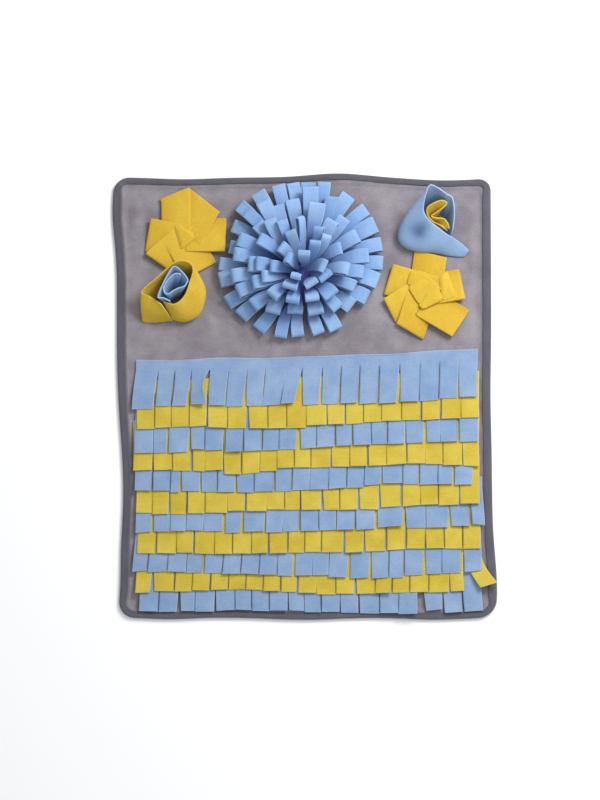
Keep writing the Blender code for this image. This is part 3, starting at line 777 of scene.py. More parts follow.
def binding_section():
    """(inset, height) of the middle of the tape, from its upper hem round to its lower one."""
    middle = TAPE_HEIGHT / 2
    half = middle - TAPE / 2
    section = [(inset, middle + half) for inset in (TAPE_COVER, 0.0092, FOLD_INSET)]
    for step in range(FOLD_STEPS + 1):
        angle = math.radians(90 - 180 / FOLD_STEPS * step)
        inset = TAPE / 2 + FOLD_REACH * (1 - math.cos(angle))
        section.append((inset, middle + half * math.sin(angle)))
    section += [(inset, middle - half) for inset in (FOLD_INSET, TAPE_COVER)]
    return section


def build_binding():
    bm = new_cloth()
    section = binding_section()
    across = 0.0
    lines = []
    previous = section[0]
    for inset, height in section:
        across += math.dist((inset, height), previous)
        previous = (inset, height)
        ring = outline_ring(inset)
        loose = height > TAPE_HEIGHT / 2 and inset > LOOSE_INSET
        rubbed = Marks(cut=1.0 if inset < 0.0012 else 0.35 if inset > 0.0105 else 0.0)
        along = 0.0
        line = []
        for p, inner, following in zip(ring, outline_ring(inset + 0.002), ring[1:] + ring[:1]):
            place, ripple = p, 0.0
            if loose:
                ripple = max(waver(p.x, p.y, 95, 3) * FEED_RIPPLE, 0.0)
                share = (inset - HELD_INSET) / (TAPE_COVER - HELD_INSET)
                place = p + (inner - p).normalized() * (hem_cover(p.x, p.y) - TAPE_COVER) * share
            vert = bm.verts.new((*(place + MAT_SHIFT), height + ripple))
            line.append((vert, (along, across), rubbed))
            along += (following - p).length
        line.append((line[0][0], (along, across), rubbed))
        lines.append(line)
    add_grid(bm, lines)
    bmesh.ops.recalc_face_normals(bm, faces=bm.faces)
    return finish_piece("binding_tape", bm, "binding tape", TAPE, 0.0, rounds=0)


def path_length(places):
    return sum((b - a).length for a, b in zip(places, places[1:]))


def tape_size():
    """The tape's length round the mat's edge, and its section laid out flat."""
    ring = outline_ring(0.0)
    return path_length(ring + ring[:1]), path_length([Vector(place) for place in binding_section()])


binding_tape = build_binding()
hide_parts("binding")
tape_size()
print("binding section points:", len(binding_section()))

# %% [markdown]
# ## Fringed rows
# Each row is a strip of fleece cut into tails up to a header, and the header is sewn down.  A row
# lies on the next one below, as shingles do, so every tail slopes gently.  No two tails are alike:
# slits are a few millimetres out of step, some stand open, tips end at different heights and slant.

# %% Row tables
# left, right: the X of a row's ends; lean_left, lean_right: how far its end tails hang sideways;
# gapes: how wide a numbered slit stands open; slits: the X of each slit; tips: the Y of each tail's
# tip at its middle; skews: how much higher a tip's right end is than its left.  All in millimetres.
Row = namedtuple("Row", "cloth left right lean_left lean_right gapes slits tips skews")
ROWS = (
    Row("blue", -224.3, 232, -6, -1,
        {1: 3, 2: 1.6, 3: 4, 4: 5, 6: 4.5, 9: 8, 10: 3.5, 11: 2, 12: 2, 13: 2, 14: 4.5, 17: 3},
        (-194, -172, -150, -125, -100, -75, -51, -24, -2, 25, 50, 75, 101, 128, 155, 181, 207),
        (-20, -16, -15.5, -16, -15, -16.5, -15.5, -14.5, -12.5, -14, -13, -12, -12.5, -12, -10,
         -8.5, -5, -3.5),
        (0.5, 0.5, 0, -0.5, -0.5, 0, 0, 1.5, 1, 0.5, 0, 0.5, 1, 1, -0.5, 1, 0.5, 0)),
    Row("yellow", -222.9, 233.6, 0, 0,
        {4: 2.5, 6: 5.5, 10: 1.8, 11: 1.8, 15: 1.6, 16: 1.8},
        (-199, -177, -153, -129, -102, -75, -48, -23, 3, 31, 55, 79, 103, 130, 156, 182, 209),
        (-47.5, -45.5, -44, -43.5, -45.5, -46.5, -46.5, -46.5, -46, -42, -41, -40, -37.5, -36, -35,
         -34.5, -33, -31.5),
        (0.5, 1, 1, 1.5, -1, 0, -0.5, 0, 0.5, 0.5, 0, 1, 0.5, 0, 0, 1, 0, -0.5)),
    Row("blue", -224.3, 231, -2, 1,
        {2: 2.5, 3: 5, 5: 3, 6: 2, 9: 7, 11: 2, 12: 2, 15: 2, 16: 5, 18: 2},
        (-199, -180, -151, -131, -105, -80, -55, -33, -7, 17, 42, 65, 90, 111, 135, 161, 181, 205),
        (-80, -79.5, -79, -75, -76, -78.5, -77, -76, -75, -73.5, -72, -70, -69, -67.5, -67.5, -66,
         -65, -64.5, -64.5),
        (0.5, 1, 1.5, -0.5, 0.5, 0.5, 1, 0.5, 0, 1.5, 1.5, 0.5, 0, 0, 0.5, 0.5, 0, 0, 0)),
    Row("yellow", -227.5, 233.6, 0, 0,
        {1: 3, 3: 2, 5: 2, 11: 2, 13: 1.8, 18: 2},
        (-201, -175, -149, -132, -107, -83, -59, -36, -13, 9, 36, 61, 85, 110, 137, 161, 185, 211),
        (-103.5, -103, -104, -104.5, -103.5, -105, -107.5, -104.5, -100, -99.5, -99.5, -98.5, -98,
         -97, -95.5, -94, -95, -96.5, -97.5),
        (1, 1, 0, -1.5, 1, -0.5, 2, 0.5, 0.5, 0, 0.5, -0.5, 0, 0.5, 1.5, -0.5, -0.5, 0, -1.5)),
    Row("blue", -224.3, 225.6, -1, -2,
        {1: 2, 3: 4, 4: 2.5, 6: 3.5, 8: 2, 14: 3, 16: 1.8, 18: 2.5},
        (-201, -177, -163, -136, -114, -89, -65, -38, -15, 9, 34, 58, 81, 105, 133, 155, 180, 201),
        (-131, -131, -133.5, -131.5, -132.5, -133, -133.5, -132, -132, -130, -129.5, -128, -127,
         -123, -121, -122, -122.5, -122, -123),
        (0, 0, 0, 0, 0.5, 0, -0.5, 0.5, 0.5, 0.5, 0, 2, 0.5, 1.5, 0, -0.5, 0.5, 0, 0)),
    Row("yellow", -222.9, 233.6, -1, 0,
        {2: 3, 3: 2, 6: 2.5, 9: 2.5, 10: 4, 12: 3.5, 13: 3.5, 14: 2, 17: 2},
        (-201, -178, -155, -131, -101, -77, -49, -25, -4, 25, 48, 73, 101, 130, 155, 179, 207),
        (-161, -163, -163, -162, -161, -158.5, -159, -156.5, -157, -157, -157, -157, -156.5, -153,
         -151.5, -150, -150.5, -149),
        (-0.5, 0.5, 0, 0, -0.5, 0.5, 0, 0, 0, 0.5, 0, 0.5, -1, 1.5, 2, 0.5, 1, 0)),
    Row("blue", -221.6, 237, -3, 2,
        {1: 3.5, 5: 3.5, 6: 4.5, 7: 1.6, 9: 1.6, 12: 2, 13: 4.5, 14: 4.5, 16: 3.5, 17: 1.6},
        (-199, -176, -155, -132, -105, -81, -51, -28, -5, 20, 43, 68, 96, 133, 161, 192, 219),
        (-187.5, -186.5, -186, -185, -186, -188, -186.5, -187.5, -186, -185.5, -184.5, -184, -183.5,
         -180, -181.5, -181, -179, -180),
        (2, 0, 0, -0.5, 0.5, 1, 1, 0.5, 1.5, 0.5, 1, 0.5, 1.5, 2, 0, 0.5, 0, -2)),
    Row("yellow", -220.3, 233.6, -2, 1,
        {1: 1.8, 3: 1.8, 7: 2, 11: 3.5, 12: 3, 13: 2, 14: 1.6, 15: 2},
        (-195, -168, -145, -118, -94, -69, -46, -21, 1, 23, 53, 80, 109, 135, 161, 186, 210),
        (-216, -216, -215, -216.5, -217, -216.5, -216, -216, -215, -214, -214.5, -215, -213, -211,
         -209.5, -209, -209.5, -209.5),
        (0, -0.5, 0, -0.5, 0, 0, 1, 1, 0, 0, 0.5, 1.5, 1, 1.5, 0, 0.5, -0.5, 0)),
    Row("blue", -222.9, 235, -6, 1,
        {4: 2, 9: 3.5, 12: 3.5, 13: 4.5, 15: 1.6, 16: 5, 18: 5},
        (-203, -177, -152, -130, -105, -81, -57, -33, -11, 13, 35, 61, 89, 113, 133, 160, 183, 210),
        (-240, -241, -241, -242, -242.5, -244, -244, -245, -246.5, -246, -245.5, -246.5, -249.5,
         -249.5, -249, -245.5, -243.5, -242.5, -240.5),
        (2.5, 2, -0.5, 1.5, 1.5, 1, -1, 0, -0.5, 0.5, 0.5, -0.5, 1.5, 1.5, 0.5, 1.5, 1, 1, 2.5)),
    Row("yellow", -221.6, 235, -3, 1,
        {1: 6, 4: 2, 8: 1.6, 9: 2.5, 12: 3.5, 17: 2.5},
        (-199, -170, -147, -123, -99, -76, -53, -30, -8, 17, 43, 69, 95, 117, 140, 165, 193, 212),
        (-269.5, -267, -267.5, -266, -265, -264.5, -265, -267, -268, -269.5, -271.5, -270.5, -270.5,
         -269, -269, -268.5, -268.5, -267, -265.5),
        (1, 0, 0.5, 0, 1, 1, -0.5, 0.5, 0, 0, 0, 0, 1, 0.5, 1, 1, 1, 1, 7)),
    Row("blue", -217.6, 235, -2, 3,
        {2: 6, 4: 3, 8: 2, 11: 1.6, 12: 2, 15: 10, 16: 3, 17: 2},
        (-192, -165, -144, -117, -91, -69, -46, -21, 0, 22, 47, 72, 99, 125, 155, 183, 209),
        (-294, -294.5, -293.5, -294.5, -292.5, -292, -293.5, -293, -293, -295, -294.5, -295.5,
         -296.5, -296.5, -298, -292, -295.5, -293.5),
        (0, 1, 0, 0.5, 2, -0.5, 0, 0.5, -0.5, 0.5, 0.5, 0, 0, 0.5, 0.5, 2.5, 2, 2)),
)

# The Y of the first and the last row's upper edge at their left, middle and right, in metres.
FIRST_TOP = (0.0483, 0.0544, 0.0653)
LAST_TOP = (-0.2230, -0.2260, -0.2270)

# Depths below a row's upper edge are counted in pitches, from one row to the next.
HEADER = 0.54
LAST_ROW_RISE = 1.55
LAYER_STEP = FLEECE + CLEAR
SLIT_MOUTH = 0.4
print("tails:", sum(len(row.slits) + 1 for row in ROWS))

# %% [markdown]
# ### Tails that hang their own way
# Some tails catch the eye: one is twisted over, one has swung out over the binding, others lift a
# side or curl in an edge.  They have a table of their own, in millimetres: how far the tip swings
# sideways, how much longer it is, how much it lifts, how far one side rises above the other, and
# how far an edge curls in.

# %% Tails that hang their own way
Stray = namedtuple("Stray", "row tail sideways longer lift roll curl_in")
STRAYS = (
    Stray(1, 4, 2, -2, 1.0, 5.0, 7),
    Stray(1, 8, -1.5, 0, 0.0, 0.0, 0),
    Stray(1, 9, -3.5, 0, 3.0, 0.3, 0),
    Stray(3, 6, 0, 0, 1.6, 2.2, 0),
    Stray(4, 6, 0, 4, 1.0, 1.5, 0),
    Stray(7, 17, 1, 0, 0.5, 0.5, 0),
    Stray(7, 18, 2, -3, 1.5, -1.0, 0),
    Stray(7, 14, -1, 0, 1.2, 2.0, 0),
    Stray(9, 12, -1, 2, 1.0, 1.8, 0),
    Stray(10, 19, 21, -6, 4.5, 1.5, 0),
    Stray(10, 14, -1, 1, 1.2, 2.4, 0),
    Stray(11, 15, -2, 0, 2.8, 2.0, 3),
)
PLAIN_TAIL = Stray(0, 0, 0, 0, 0, 0, 0)


def row_line(number, share):
    """The Y of a row's upper edge; rows are numbered from 1 and share runs from left to right."""
    down = (number - 1) / (len(ROWS) - 1)
    return blend3(FIRST_TOP, share) * (1 - down) + blend3(LAST_TOP, share) * down


def row_pitch(share):
    return (row_line(1, share) - row_line(len(ROWS), share)) / (len(ROWS) - 1)


def shingle_height(number, depth):
    """The underside of a row, depth pitches below its upper edge."""
    if number == len(ROWS):
        depth = min(depth, LAST_ROW_RISE)
    return CLOTH + CLEAR + LAYER_STEP * depth


print("row pitch:", [round(row_pitch(s) * 1000, 1) for s in (0, 0.5, 1)], "mm")


# %% [markdown]
# ### One row
# A row is one sheet.  Its header is a grid right across, and each tail is a grid that starts from
# the header's last line.  A tail spreads its slits open, leans, lifts, rolls and bows along its
# length, and seeded draws give each its own share of these.  Pale marks follow the open slits, and
# shade is painted along the closed ones.

# %% One row
HEADER_DEPTHS = (0.0, 0.04, 0.20, 0.40, HEADER)
HEADER_WAVE = 0.0006
EDGE_DROP = 0.0010
EDGE_WANDER = 0.0020
CLOTH_PITCH = 0.0275
TAIL_ALONG = (0.12, 0.28, 0.42, 0.56, 0.70, 0.84, 0.94)
TAIL_SHARES = (0.34, 0.66)
TAIL_COLUMNS = len(TAIL_SHARES) + 3
TAIL_TONE = 0.12
PALE_SLITS = 0.3
OPEN_SLIT = 0.002
SWING_BEND = 1.6
SKEW_BEND = 1.5


def build_row(number, row):
    draw = random.Random(100 + number)
    strays = {s.tail: s for s in STRAYS if s.row == number}
    bm = new_cloth()
    tails = len(row.slits) + 1
    slits = [x / 1000 for x in (row.left, *row.slits, row.right)]
    waves = [draw.uniform(0, HEADER_WAVE) if number == 1 else 0.0 for _ in slits]

    def place(x, depth, lift=0.0):
        share = (x + HALF_WIDTH) / (2 * HALF_WIDTH)
        drop = EDGE_DROP + EDGE_WANDER * noise.noise(Vector((x * 17, number, 0.5)))
        y = row_line(number, share) - depth * row_pitch(share) - drop * max(0.0, 1 - depth / 0.4)
        return Vector((x, y, shingle_height(number, depth) + lift))

    def cloth_place(x, depth):
        return (x, -depth * CLOTH_PITCH)

    columns = []
    tones = [draw.uniform(-TAIL_TONE, TAIL_TONE) for _ in range(tails)]
    paler = [draw.random() < PALE_SLITS for _ in slits]
    for n in range(tails):
        width = slits[n + 1] - slits[n]
        band = CUT_BAND / width
        shares = (0.0, band, *TAIL_SHARES, 1 - band) + ((1.0,) if n == tails - 1 else ())
        columns += [(n, share, slits[n] + width * share) for share in shares]
    header = []
    for depth in HEADER_DEPTHS:
        line = []
        for n, share, x in columns:
            wave = waves[n] * (1 - share) + waves[min(n + 1, tails)] * share
            end = x < slits[0] + 1e-6 or x > slits[-1] - 1e-6
            marks = Marks(cut=0.6 if depth == 0.0 or end else 0.0, tone=tones[n] * depth)
            point = place(x, depth, wave * math.sin(math.pi * depth / HEADER))
            line.append((point, cloth_place(x, depth), marks))
        header.append(line)
    roots = add_grid(bm, header[::-1])[0]

    for n in range(tails):
        stray = strays.get(n + 1, PLAIN_TAIL)
        middle = (slits[n] + slits[n + 1]) / (4 * HALF_WIDTH) + 0.5
        lean = (row.lean_left * (1 - middle) + row.lean_right * middle) / 1000
        left_gap = (SLIT_MOUTH if n == 0 else row.gapes.get(n, SLIT_MOUTH)) / 1000
        right_gap = (SLIT_MOUTH if n == tails - 1 else row.gapes.get(n + 1, SLIT_MOUTH)) / 1000
        tip_y = (row.tips[n] - stray.longer) / 1000
        skew = row.skews[n] / 1000
        lift = draw.uniform(0.0, 0.0009) + stray.lift / 1000
        roll = draw.uniform(-0.0005, 0.0005) + stray.roll / 1000
        cup = draw.uniform(-0.0003, 0.0009)
        curl = draw.choice((0.0, 0.0, 0.0006, 0.0016))
        bow = draw.uniform(-0.0007, 0.0007)
        dent = draw.uniform(0.35, 0.75)
        dent_depth = draw.choice((0.0, 0.0003, 0.0008))
        width = slits[n + 1] - slits[n]
        band = CUT_BAND / width
        shares = (0.0, band, *TAIL_SHARES, 1 - band, 1.0)
        tip_depth = (row_line(number, middle) - tip_y) / row_pitch(middle)
        length = (tip_depth - HEADER) * row_pitch(middle)
        first = TAIL_COLUMNS * n
        starts = zip(roots[first : first + TAIL_COLUMNS + 1], columns[first:])
        at_header = Marks(tone=tones[n] * HEADER)
        lines = [[(vert, cloth_place(column[2], HEADER), at_header) for vert, column in starts]]
        for along in TAIL_ALONG + (1 - CUT_BAND / length, 1.0):
            line = []
            free = ease((along - 0.25) / 0.75)
            swing = stray.sideways / 1000 * along**SWING_BEND
            left_x = slits[n] + lean * along + left_gap / 2 * along
            right_x = slits[n + 1] + lean * along - right_gap / 2 * along
            for share in shares:
                pull = stray.curl_in / 1000 * math.sin(math.pi * min(1.0, along * 1.15)) * share**2
                x = left_x * (1 - share) + right_x * share + swing - pull
                x += bow * math.sin(math.pi * along)
                side = share - 0.5
                rise = lift * free + abs(roll) * free * (0.5 + side * (1 if roll > 0 else -1))
                rise += cup * free * (1 - 4 * side * side)
                rise += curl * max(0.0, (along - 0.6) / 0.4) ** 2
                rise += dent_depth * free * math.cos((along - dent) * 9)
                rise += 0.5 * pull * math.sin(math.pi * along)
                depth = HEADER + (tip_depth - HEADER) * along
                point = place(x, depth, max(rise, 0.0))
                point.y += skew * side * along**SKEW_BEND
                at_edge = share in (0.0, 1.0)
                in_slit = (share == 0.0 and n > 0) or (share == 1.0 and n < tails - 1)
                gap = left_gap if share == 0.0 else right_gap
                shows = gap > OPEN_SLIT or paler[n + int(share)]
                side_cut = 0.45 if at_edge and (shows or not in_slit) else 0.0
                marks = Marks(
                    # A tip's pale edge is partly the cut edge's own paler colour and partly a painted highlight
                    # of the light the tip's edge catches.
                    cut=0.8 if along == 1.0 else side_cut,
                    # Painted shade along a closed slit, where the cloth meets its neighbour.
                    tucked=0.5 if in_slit and not shows and along < 0.95 else 0.0,
                    tone=tones[n],
                )
                line.append((point, cloth_place(slits[n] + width * share, depth), marks))
            lines.append(line)
        add_grid(bm, lines[::-1])
    bmesh.ops.recalc_face_normals(bm, faces=bm.faces)
    if sum(f.normal.z for f in bm.faces) < 0:
        bmesh.ops.reverse_faces(bm, faces=bm.faces)
    strip = finish_piece(f"fringe_{number:02d}", bm, f"row {row.cloth}", FLEECE, 1.0)
    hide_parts(f"fringe_row_{number:02d}")
    length = row_line(number, 0.5) - row.tips[tails // 2] / 1000
    return strip


print("lines along a tail:", len(TAIL_ALONG) + 3)

# %% [markdown]
# ### All rows
# The rows are built from the first, nearest the pompom, to the last.  Each rests on the next one
# below it, and the last on the mat.

# %% All rows
strips = [build_row(number, row) for number, row in enumerate(ROWS, start=1)]
print("rows:", len(strips), "faces before thickness:", sum(len(s.data.polygons) for s in strips))

# %% [markdown]
# ## Pompom
# The pompom is one long strip, folded in two along its length, cut into loops and wound up on its
# base.  Each loop is a hairpin of fleece: it leaves the core, bends over and comes back, and its
# soft fold is the tip.  The loops stand in five loose tiers, those above shorter and steeper.
# They are listed one by one, clockwise in each tier, because the eye notices a machine's regularity.

# %% Loop table
# x, y: the tip's middle from the pompom's middle; height above the mat; width; in millimetres.
# facing: which way the tip points; roll: how far it is turned about its length; in degrees.
Loop = namedtuple("Loop", "tier x y height width facing roll")
LOOP_PLACES = {
    1: (
        (-86, 89, 12, 18, 140, 0), (-61, 106, 14, 20, 119, 0), (-34, 116, 12, 18, 103, 0),
        (-15, 118, 15, 17, 103, 0), (6, 119, 12, 20, 90, 0), (27, 119, 17, 17, 88, 0),
        (60, 102, 12, 20, 53, 0), (83, 84, 12, 18, 35, 0), (95, 63, 12, 23, 23, 0),
        (103, 37, 10, 19, 8, 0), (104, 12, 9, 19, -4, 0), (97, -13, 10, 23, -24, 0),
        (83, -35, 9, 21, -27, 0), (62, -46, 12, 21, -34, 6), (42, -78, 9, 19, -63, 0),
        (19, -83, 8, 17, -68, 0), (-8, -86, 8, 17, -80, 0), (-31, -88, 8, 17, -98, 0),
        (-60, -78, 8, 19, -131, 0), (-83, -60, 9, 21, -134, 0), (-101, -42, 9, 20, -146, 0),
        (-112, -11, 9, 21, -165, 0), (-112, 11, 10, 18, 171, 0), (-98, 33, 12, 18, 170, 0),
        (-94, 61, 12, 18, 160, 0),
    ),
    2: (
        (-76, 77, 27, 17, 137, 0), (-55, 89, 29, 19, 117, 0), (-36, 84, 30, 19, 104, 0),
        (-16, 91, 32, 19, 104, 4), (8, 109, 31, 21, 94, 0), (37, 96, 29, 17, 85, -8),
        (53, 66, 35, 17, 56, 0), (85, 18, 28, 20, 2, 0), (77, -4, 26, 18, -9, 0),
        (66, -23, 27, 16, -24, 0), (16, -59, 27, 21, -79, 0), (-12, -58, 27, 21, -92, 0),
        (-41, -58, 27, 20, -102, 0), (-67, -49, 27, 19, -143, 0), (-87, -31, 27, 19, -156, 0),
        (-95, -10, 28, 19, -169, 0), (-92, 19, 30, 19, 174, 0), (-87, 39, 33, 19, 163, 0),
        (-62, 58, 35, 17, 134, 0), (70, 43, 32, 19, 26, 0), (44, -52, 24, 17, -50, 0),
    ),
    3: (
        (-72, 4, 40, 21, 178, 0), (-62, 3, 48, 19, 178, 0), (-66, -22, 42, 19, -170, 0),
        (-54, -15, 51, 16, -175, 0), (-42, -40, 46, 18, -133, 0), (-15, -47, 46, 18, -101, 0),
        (11, -45, 46, 19, -80, 0), (36, -39, 46, 22, -53, 0), (18, 83, 50, 22, 83, 0),
        (-45, 61, 46, 17, 108, 0), (-30, 58, 52, 15, 110, 8), (38, 60, 43, 18, 59, 0),
        (-59, 36, 48, 17, 155, 0), (57, -4, 45, 17, -16, 0), (48, 23, 49, 17, 12, 0),
    ),
    4: (
        (-43, -2, 57, 16, -178, 0), (-18, 43, 60, 15, 118, -14), (-6, 62, 61, 14, 99, 52),
        (20, 48, 60, 13, 90, -24), (30, 37, 62, 13, 70, 14), (-19, -31, 58, 20, -109, 0),
        (29, -17, 57, 20, -55, 0), (10, -27, 60, 19, -62, 0), (-30, 23, 60, 16, 148, 6),
    ),
    5: (
        (26, -4, 66, 18, -45, 22), (15, 28, 68, 15, 84, 10), (0, 12, 73, 16, 110, -20),
        (-11, -18, 65, 14, -112, 8), (-22, 7, 68, 15, 150, 12),
    ),
}
LOOPS = [Loop(tier, *place) for tier, places in LOOP_PLACES.items() for place in places]
Tier = namedtuple("Tier", "root_out root_up root_width arch gap")
LOOP_TIERS = {
    1: Tier(29, 7, 9, 9, 8.5),
    2: Tier(26, 17, 9, 9, 8.5),
    3: Tier(20, 26, 8, 8, 8.5),
    4: Tier(12, 32, 7, 4, 7.0),
    5: Tier(6, 34, 6, 2, 7.0),
}
POMPOM_AT = Vector((0.000, 0.1660, CLOTH + CLEAR))
POMPOM_ROOT = Vector((-0.002, -0.004, 0))
print("loops:", len(LOOPS), "in tiers of", [len(places) for places in LOOP_PLACES.values()])


# %% [markdown]
# ### One loop
# A loop's middle line bends from its root in the core to its tip.  Two leaves of cloth follow that
# line, a little apart, and a soft fold joins them at the tip.  The strip widens on the way out, and
# shade is painted on it towards its root, where it is buried among the others.

# %% One loop
LOOP_STATIONS = (0.0, 0.16, 0.34, 0.52, 0.70, 0.85, 0.95)
TIP_SPREAD = (1.01, 1.03)
TIP_PULL = 0.45
TIP_REACH = 0.42
TIP_CLOTH = 0.7


def loop_course(loop, draw):
    """The loop's middle line from root to tip: (share, point, (out, side, up))."""
    tier = LOOP_TIERS[loop.tier]
    spread_x, spread_up = TIP_SPREAD
    tip_y = loop.y * (spread_up if loop.y > 0 else 1.0)
    tip = Vector((loop.x * spread_x, tip_y, loop.height)) / 1000
    plan = Vector((tip.x, tip.y, 0)) - POMPOM_ROOT
    outward = plan.normalized()
    root = POMPOM_ROOT + outward * tier.root_out / 1000 + Vector((0, 0, tier.root_up / 1000))
    facing = math.radians(loop.facing)
    forward = Vector((math.cos(facing), math.sin(facing), 0))
    reach = (Vector((tip.x, tip.y, 0)) - Vector((root.x, root.y, 0))).length
    pull = tip - forward * reach * TIP_PULL
    pull.z = (root.z + tip.z) / 2 + (tier.arch + draw.uniform(-1.5, 1.5)) / 1000
    askew = draw.uniform(-8, 8)
    stations = []
    for share in LOOP_STATIONS:
        out = ((pull - root) * (1 - share) + (tip - pull) * share).normalized()
        side_plan = outward.lerp(forward, share).normalized()
        side = Vector((-side_plan.y, side_plan.x, 0))
        side = (side - out * side.dot(out)).normalized()
        up = out.cross(side)
        turn = math.radians(loop.roll + askew) * ease(share * 1.3)
        cos, sin = math.cos(turn), math.sin(turn)
        turned = (out, side * cos + up * sin, up * cos - side * sin)
        stations.append((share, bend((root, pull, tip), share), turned))
    return stations


def add_loop(bm, loop, draw):
    """Adds one loop, and returns the length of cloth in it, out to its tip and back."""
    tier = LOOP_TIERS[loop.tier]
    stations = loop_course(loop, draw)
    gap = tier.gap / 1000 * draw.uniform(0.85, 1.15)
    root_width, tip_width = tier.root_width / 1000, loop.width / 1000
    band = CUT_BAND / tip_width
    shares = (0.0, band, 0.35, 0.65, 1 - band, 1.0)
    belly = draw.uniform(-0.0006, 0.0012)
    under, over = [], []
    travelled = 0.0
    last = stations[0][1]
    for share, point, (out, side, up) in stations:
        travelled += (point - last).length
        last = point
        width = root_width + (tip_width - root_width) * ease(share * 1.25)
        half_gap = gap / 2 * (0.38 + 0.62 * ease(share * 1.1))
        for leaf, sign in ((under, -1), (over, 1)):
            line = []
            for s in shares:
                across = s - 0.5
                bulge = belly * (1 - 4 * across * across) * ease(share) * sign
                p = point + side * (across * width) + up * (sign * half_gap + bulge)
                line.append((p, travelled))
            leaf.append(line)
    in_tip = gap * TIP_CLOTH
    whole = 2 * travelled + in_tip
    _, point, turned = stations[-1]
    tip = soft_fold(point, turned, shares, tip_width, gap, gap * TIP_REACH, travelled, in_tip)
    start = Vector((draw.uniform(0, 1), draw.uniform(0, 1)))
    tone = draw.uniform(-0.3, 0.3)
    # Painted shade towards the loop's root, where it is buried among the others; stronger in lower tiers.
    deep = 0.9 if loop.tier < 4 else 0.6
    entries = []
    for line in fold_over(under, tip, over, whole):
        entry = []
        for s, (p, along) in zip(shares, line):
            buried_shade = max(0.0, 1 - min(along, whole - along) / (0.9 * travelled))
            marks = Marks(cut=0.35 if s in (0.0, 1.0) else 0.0, tucked=deep * buried_shade, tone=tone)
            entry.append((POMPOM_AT + p, (start.x + along, start.y + s * tip_width), marks))
        entries.append(entry)
    add_grid(bm, entries)
    return whole


print("lines along a loop:", 2 * len(LOOP_STATIONS) + BEND_STEPS - 1)

# %% [markdown]
# ### The whole pompom
# All loops are one piece, and a dome fills the space where they meet; it is painted all over in the
# shade colour, as painted shade among the loops' roots.  The strip's flat size is worked out as they
# are made: the loops' widths in a row, and the mean length of cloth in a loop.

# %% All loops and the core
CORE_RADIUS = 0.033


def build_pompom():
    """The loops, their core, and the length and breadth of the strip they are cut from."""
    draw = random.Random(7)
    bm = new_cloth()
    cloth_in_loops = [add_loop(bm, loop, draw) for loop in LOOPS]
    length = sum(loop.width for loop in LOOPS) / 1000
    area = sum(loop.width / 1000 * cloth for loop, cloth in zip(LOOPS, cloth_in_loops))
    loops = finish_piece("pompom_loops", bm, "pompom blue", LOOP_FLEECE, 0.0)

    dome = new_cloth()
    bmesh.ops.create_uvsphere(dome, u_segments=32, v_segments=20, radius=CORE_RADIUS)
    ball = dome.verts[:] + dome.edges[:] + dome.faces[:]
    floor_plane = {"plane_co": (0, 0, 0), "plane_no": (0, 0, -1)}
    bmesh.ops.bisect_plane(dome, geom=ball, clear_outer=True, **floor_plane)
    bmesh.ops.contextual_create(dome, geom=[e for e in dome.edges if e.is_boundary])
    bmesh.ops.translate(dome, vec=POMPOM_AT + POMPOM_ROOT, verts=dome.verts)
    bmesh.ops.recalc_face_normals(dome, faces=dome.faces)
    # Painted shade: the whole core takes the painted shade colour.
    tucked = dome.verts.layers.float["tucked"]
    for vert in dome.verts:
        vert[tucked] = 1.0
    core = finish_piece("pompom_core", dome, "pompom blue", rounds=0)
    return loops, core, (length, area / length)


pompom_loops, pompom_core, pompom_strip = build_pompom()
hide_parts("pompom")
print("pompom strip:", [round(size, 3) for size in pompom_strip], "m")

# %% [markdown]
# ## Folded flowers
# A flower is a strip folded over and over round its middle.  Each fold makes a petal: two leaves
# and a soft bend at the tip.  One side of every petal is tucked under its neighbour, all the way
# round, as in a pinwheel, so each leaf slopes by just enough to clear the next.  Flaps, the last
# turns of the strip, close the middle: one on the left flower and four on the right.

# %% Petal tables
# A fold is the line of its tip, from the end that is tucked under to the end that lies on top, in
# millimetres from the flower's middle, and the way it points.  A flap is the outline of a turn that
# lies on the petals.
Fold = namedtuple("Fold", "x y to_x to_y heading_deg")
Flower = namedtuple("Flower", "at folds flaps seed")
LEFT_FLOWER = Flower(
    at=Vector((-0.1542, 0.2200, CLOTH + CLEAR)),
    folds=(
        Fold(-37, 48, 2, 63, 90), Fold(-1, 64, 41, 29, 62), Fold(50, 22, 48, -25, 0),
        Fold(37, -38, -6, -62, 300), Fold(-10, -60, -58, -27, 222), Fold(-58, -24, -50, 21, 168),
    ),
    flaps=(((-19, 8), (-14, 13), (5, 1), (9, -7), (-10, -23)),),
    seed=3,
)
RIGHT_FLOWER = Flower(
    at=Vector((0.1729, 0.1380, CLOTH + CLEAR)),
    folds=(
        Fold(-25, 60, 18, 48, 82), Fold(34, 34, 42, -8, 10), Fold(48, -22, 24, -59, 329),
        Fold(-13, -62, -49, -41, 254), Fold(-50, -39, -66, -7, 214), Fold(-66, -1, -53, 40, 164),
    ),
    flaps=(
        ((18, 32), (31, -5), (11, -11), (8, 19)),
        ((-36, 11), (-31, 30), (-17, 31), (6, 13), (11, 4), (-5, 5)),
        ((-34, 7), (-17, 23), (0, 18), (8, 9), (-19, -17)),
        ((-20, -17), (-10, 3), (6, 10), (13, -9), (-14, -23)),
    ),
    seed=4,
)
PETAL_GAP = 0.0021
PETAL_SEAT = 0.0022
PETAL_RISE = 0.0046
PETAL_ROOT = -0.004
FLAP_TUCKED = 0.0004
PETAL_STRAIGHT = 0.94
PETAL_TIP = 0.45
FLAP_STEP = 0.0007
Petal = namedtuple("Petal", "root tip side up width")
print("petals:", len(LEFT_FLOWER.folds), "and", len(RIGHT_FLOWER.folds))

# %% [markdown]
# ### Petals and flaps
# A petal's place comes from its fold line: the petal is as wide as the line is long, and it slopes
# across by the rise.  A flap is laid on the petals.  It spans from one to the next where it is free,
# and its rim is tucked against them.

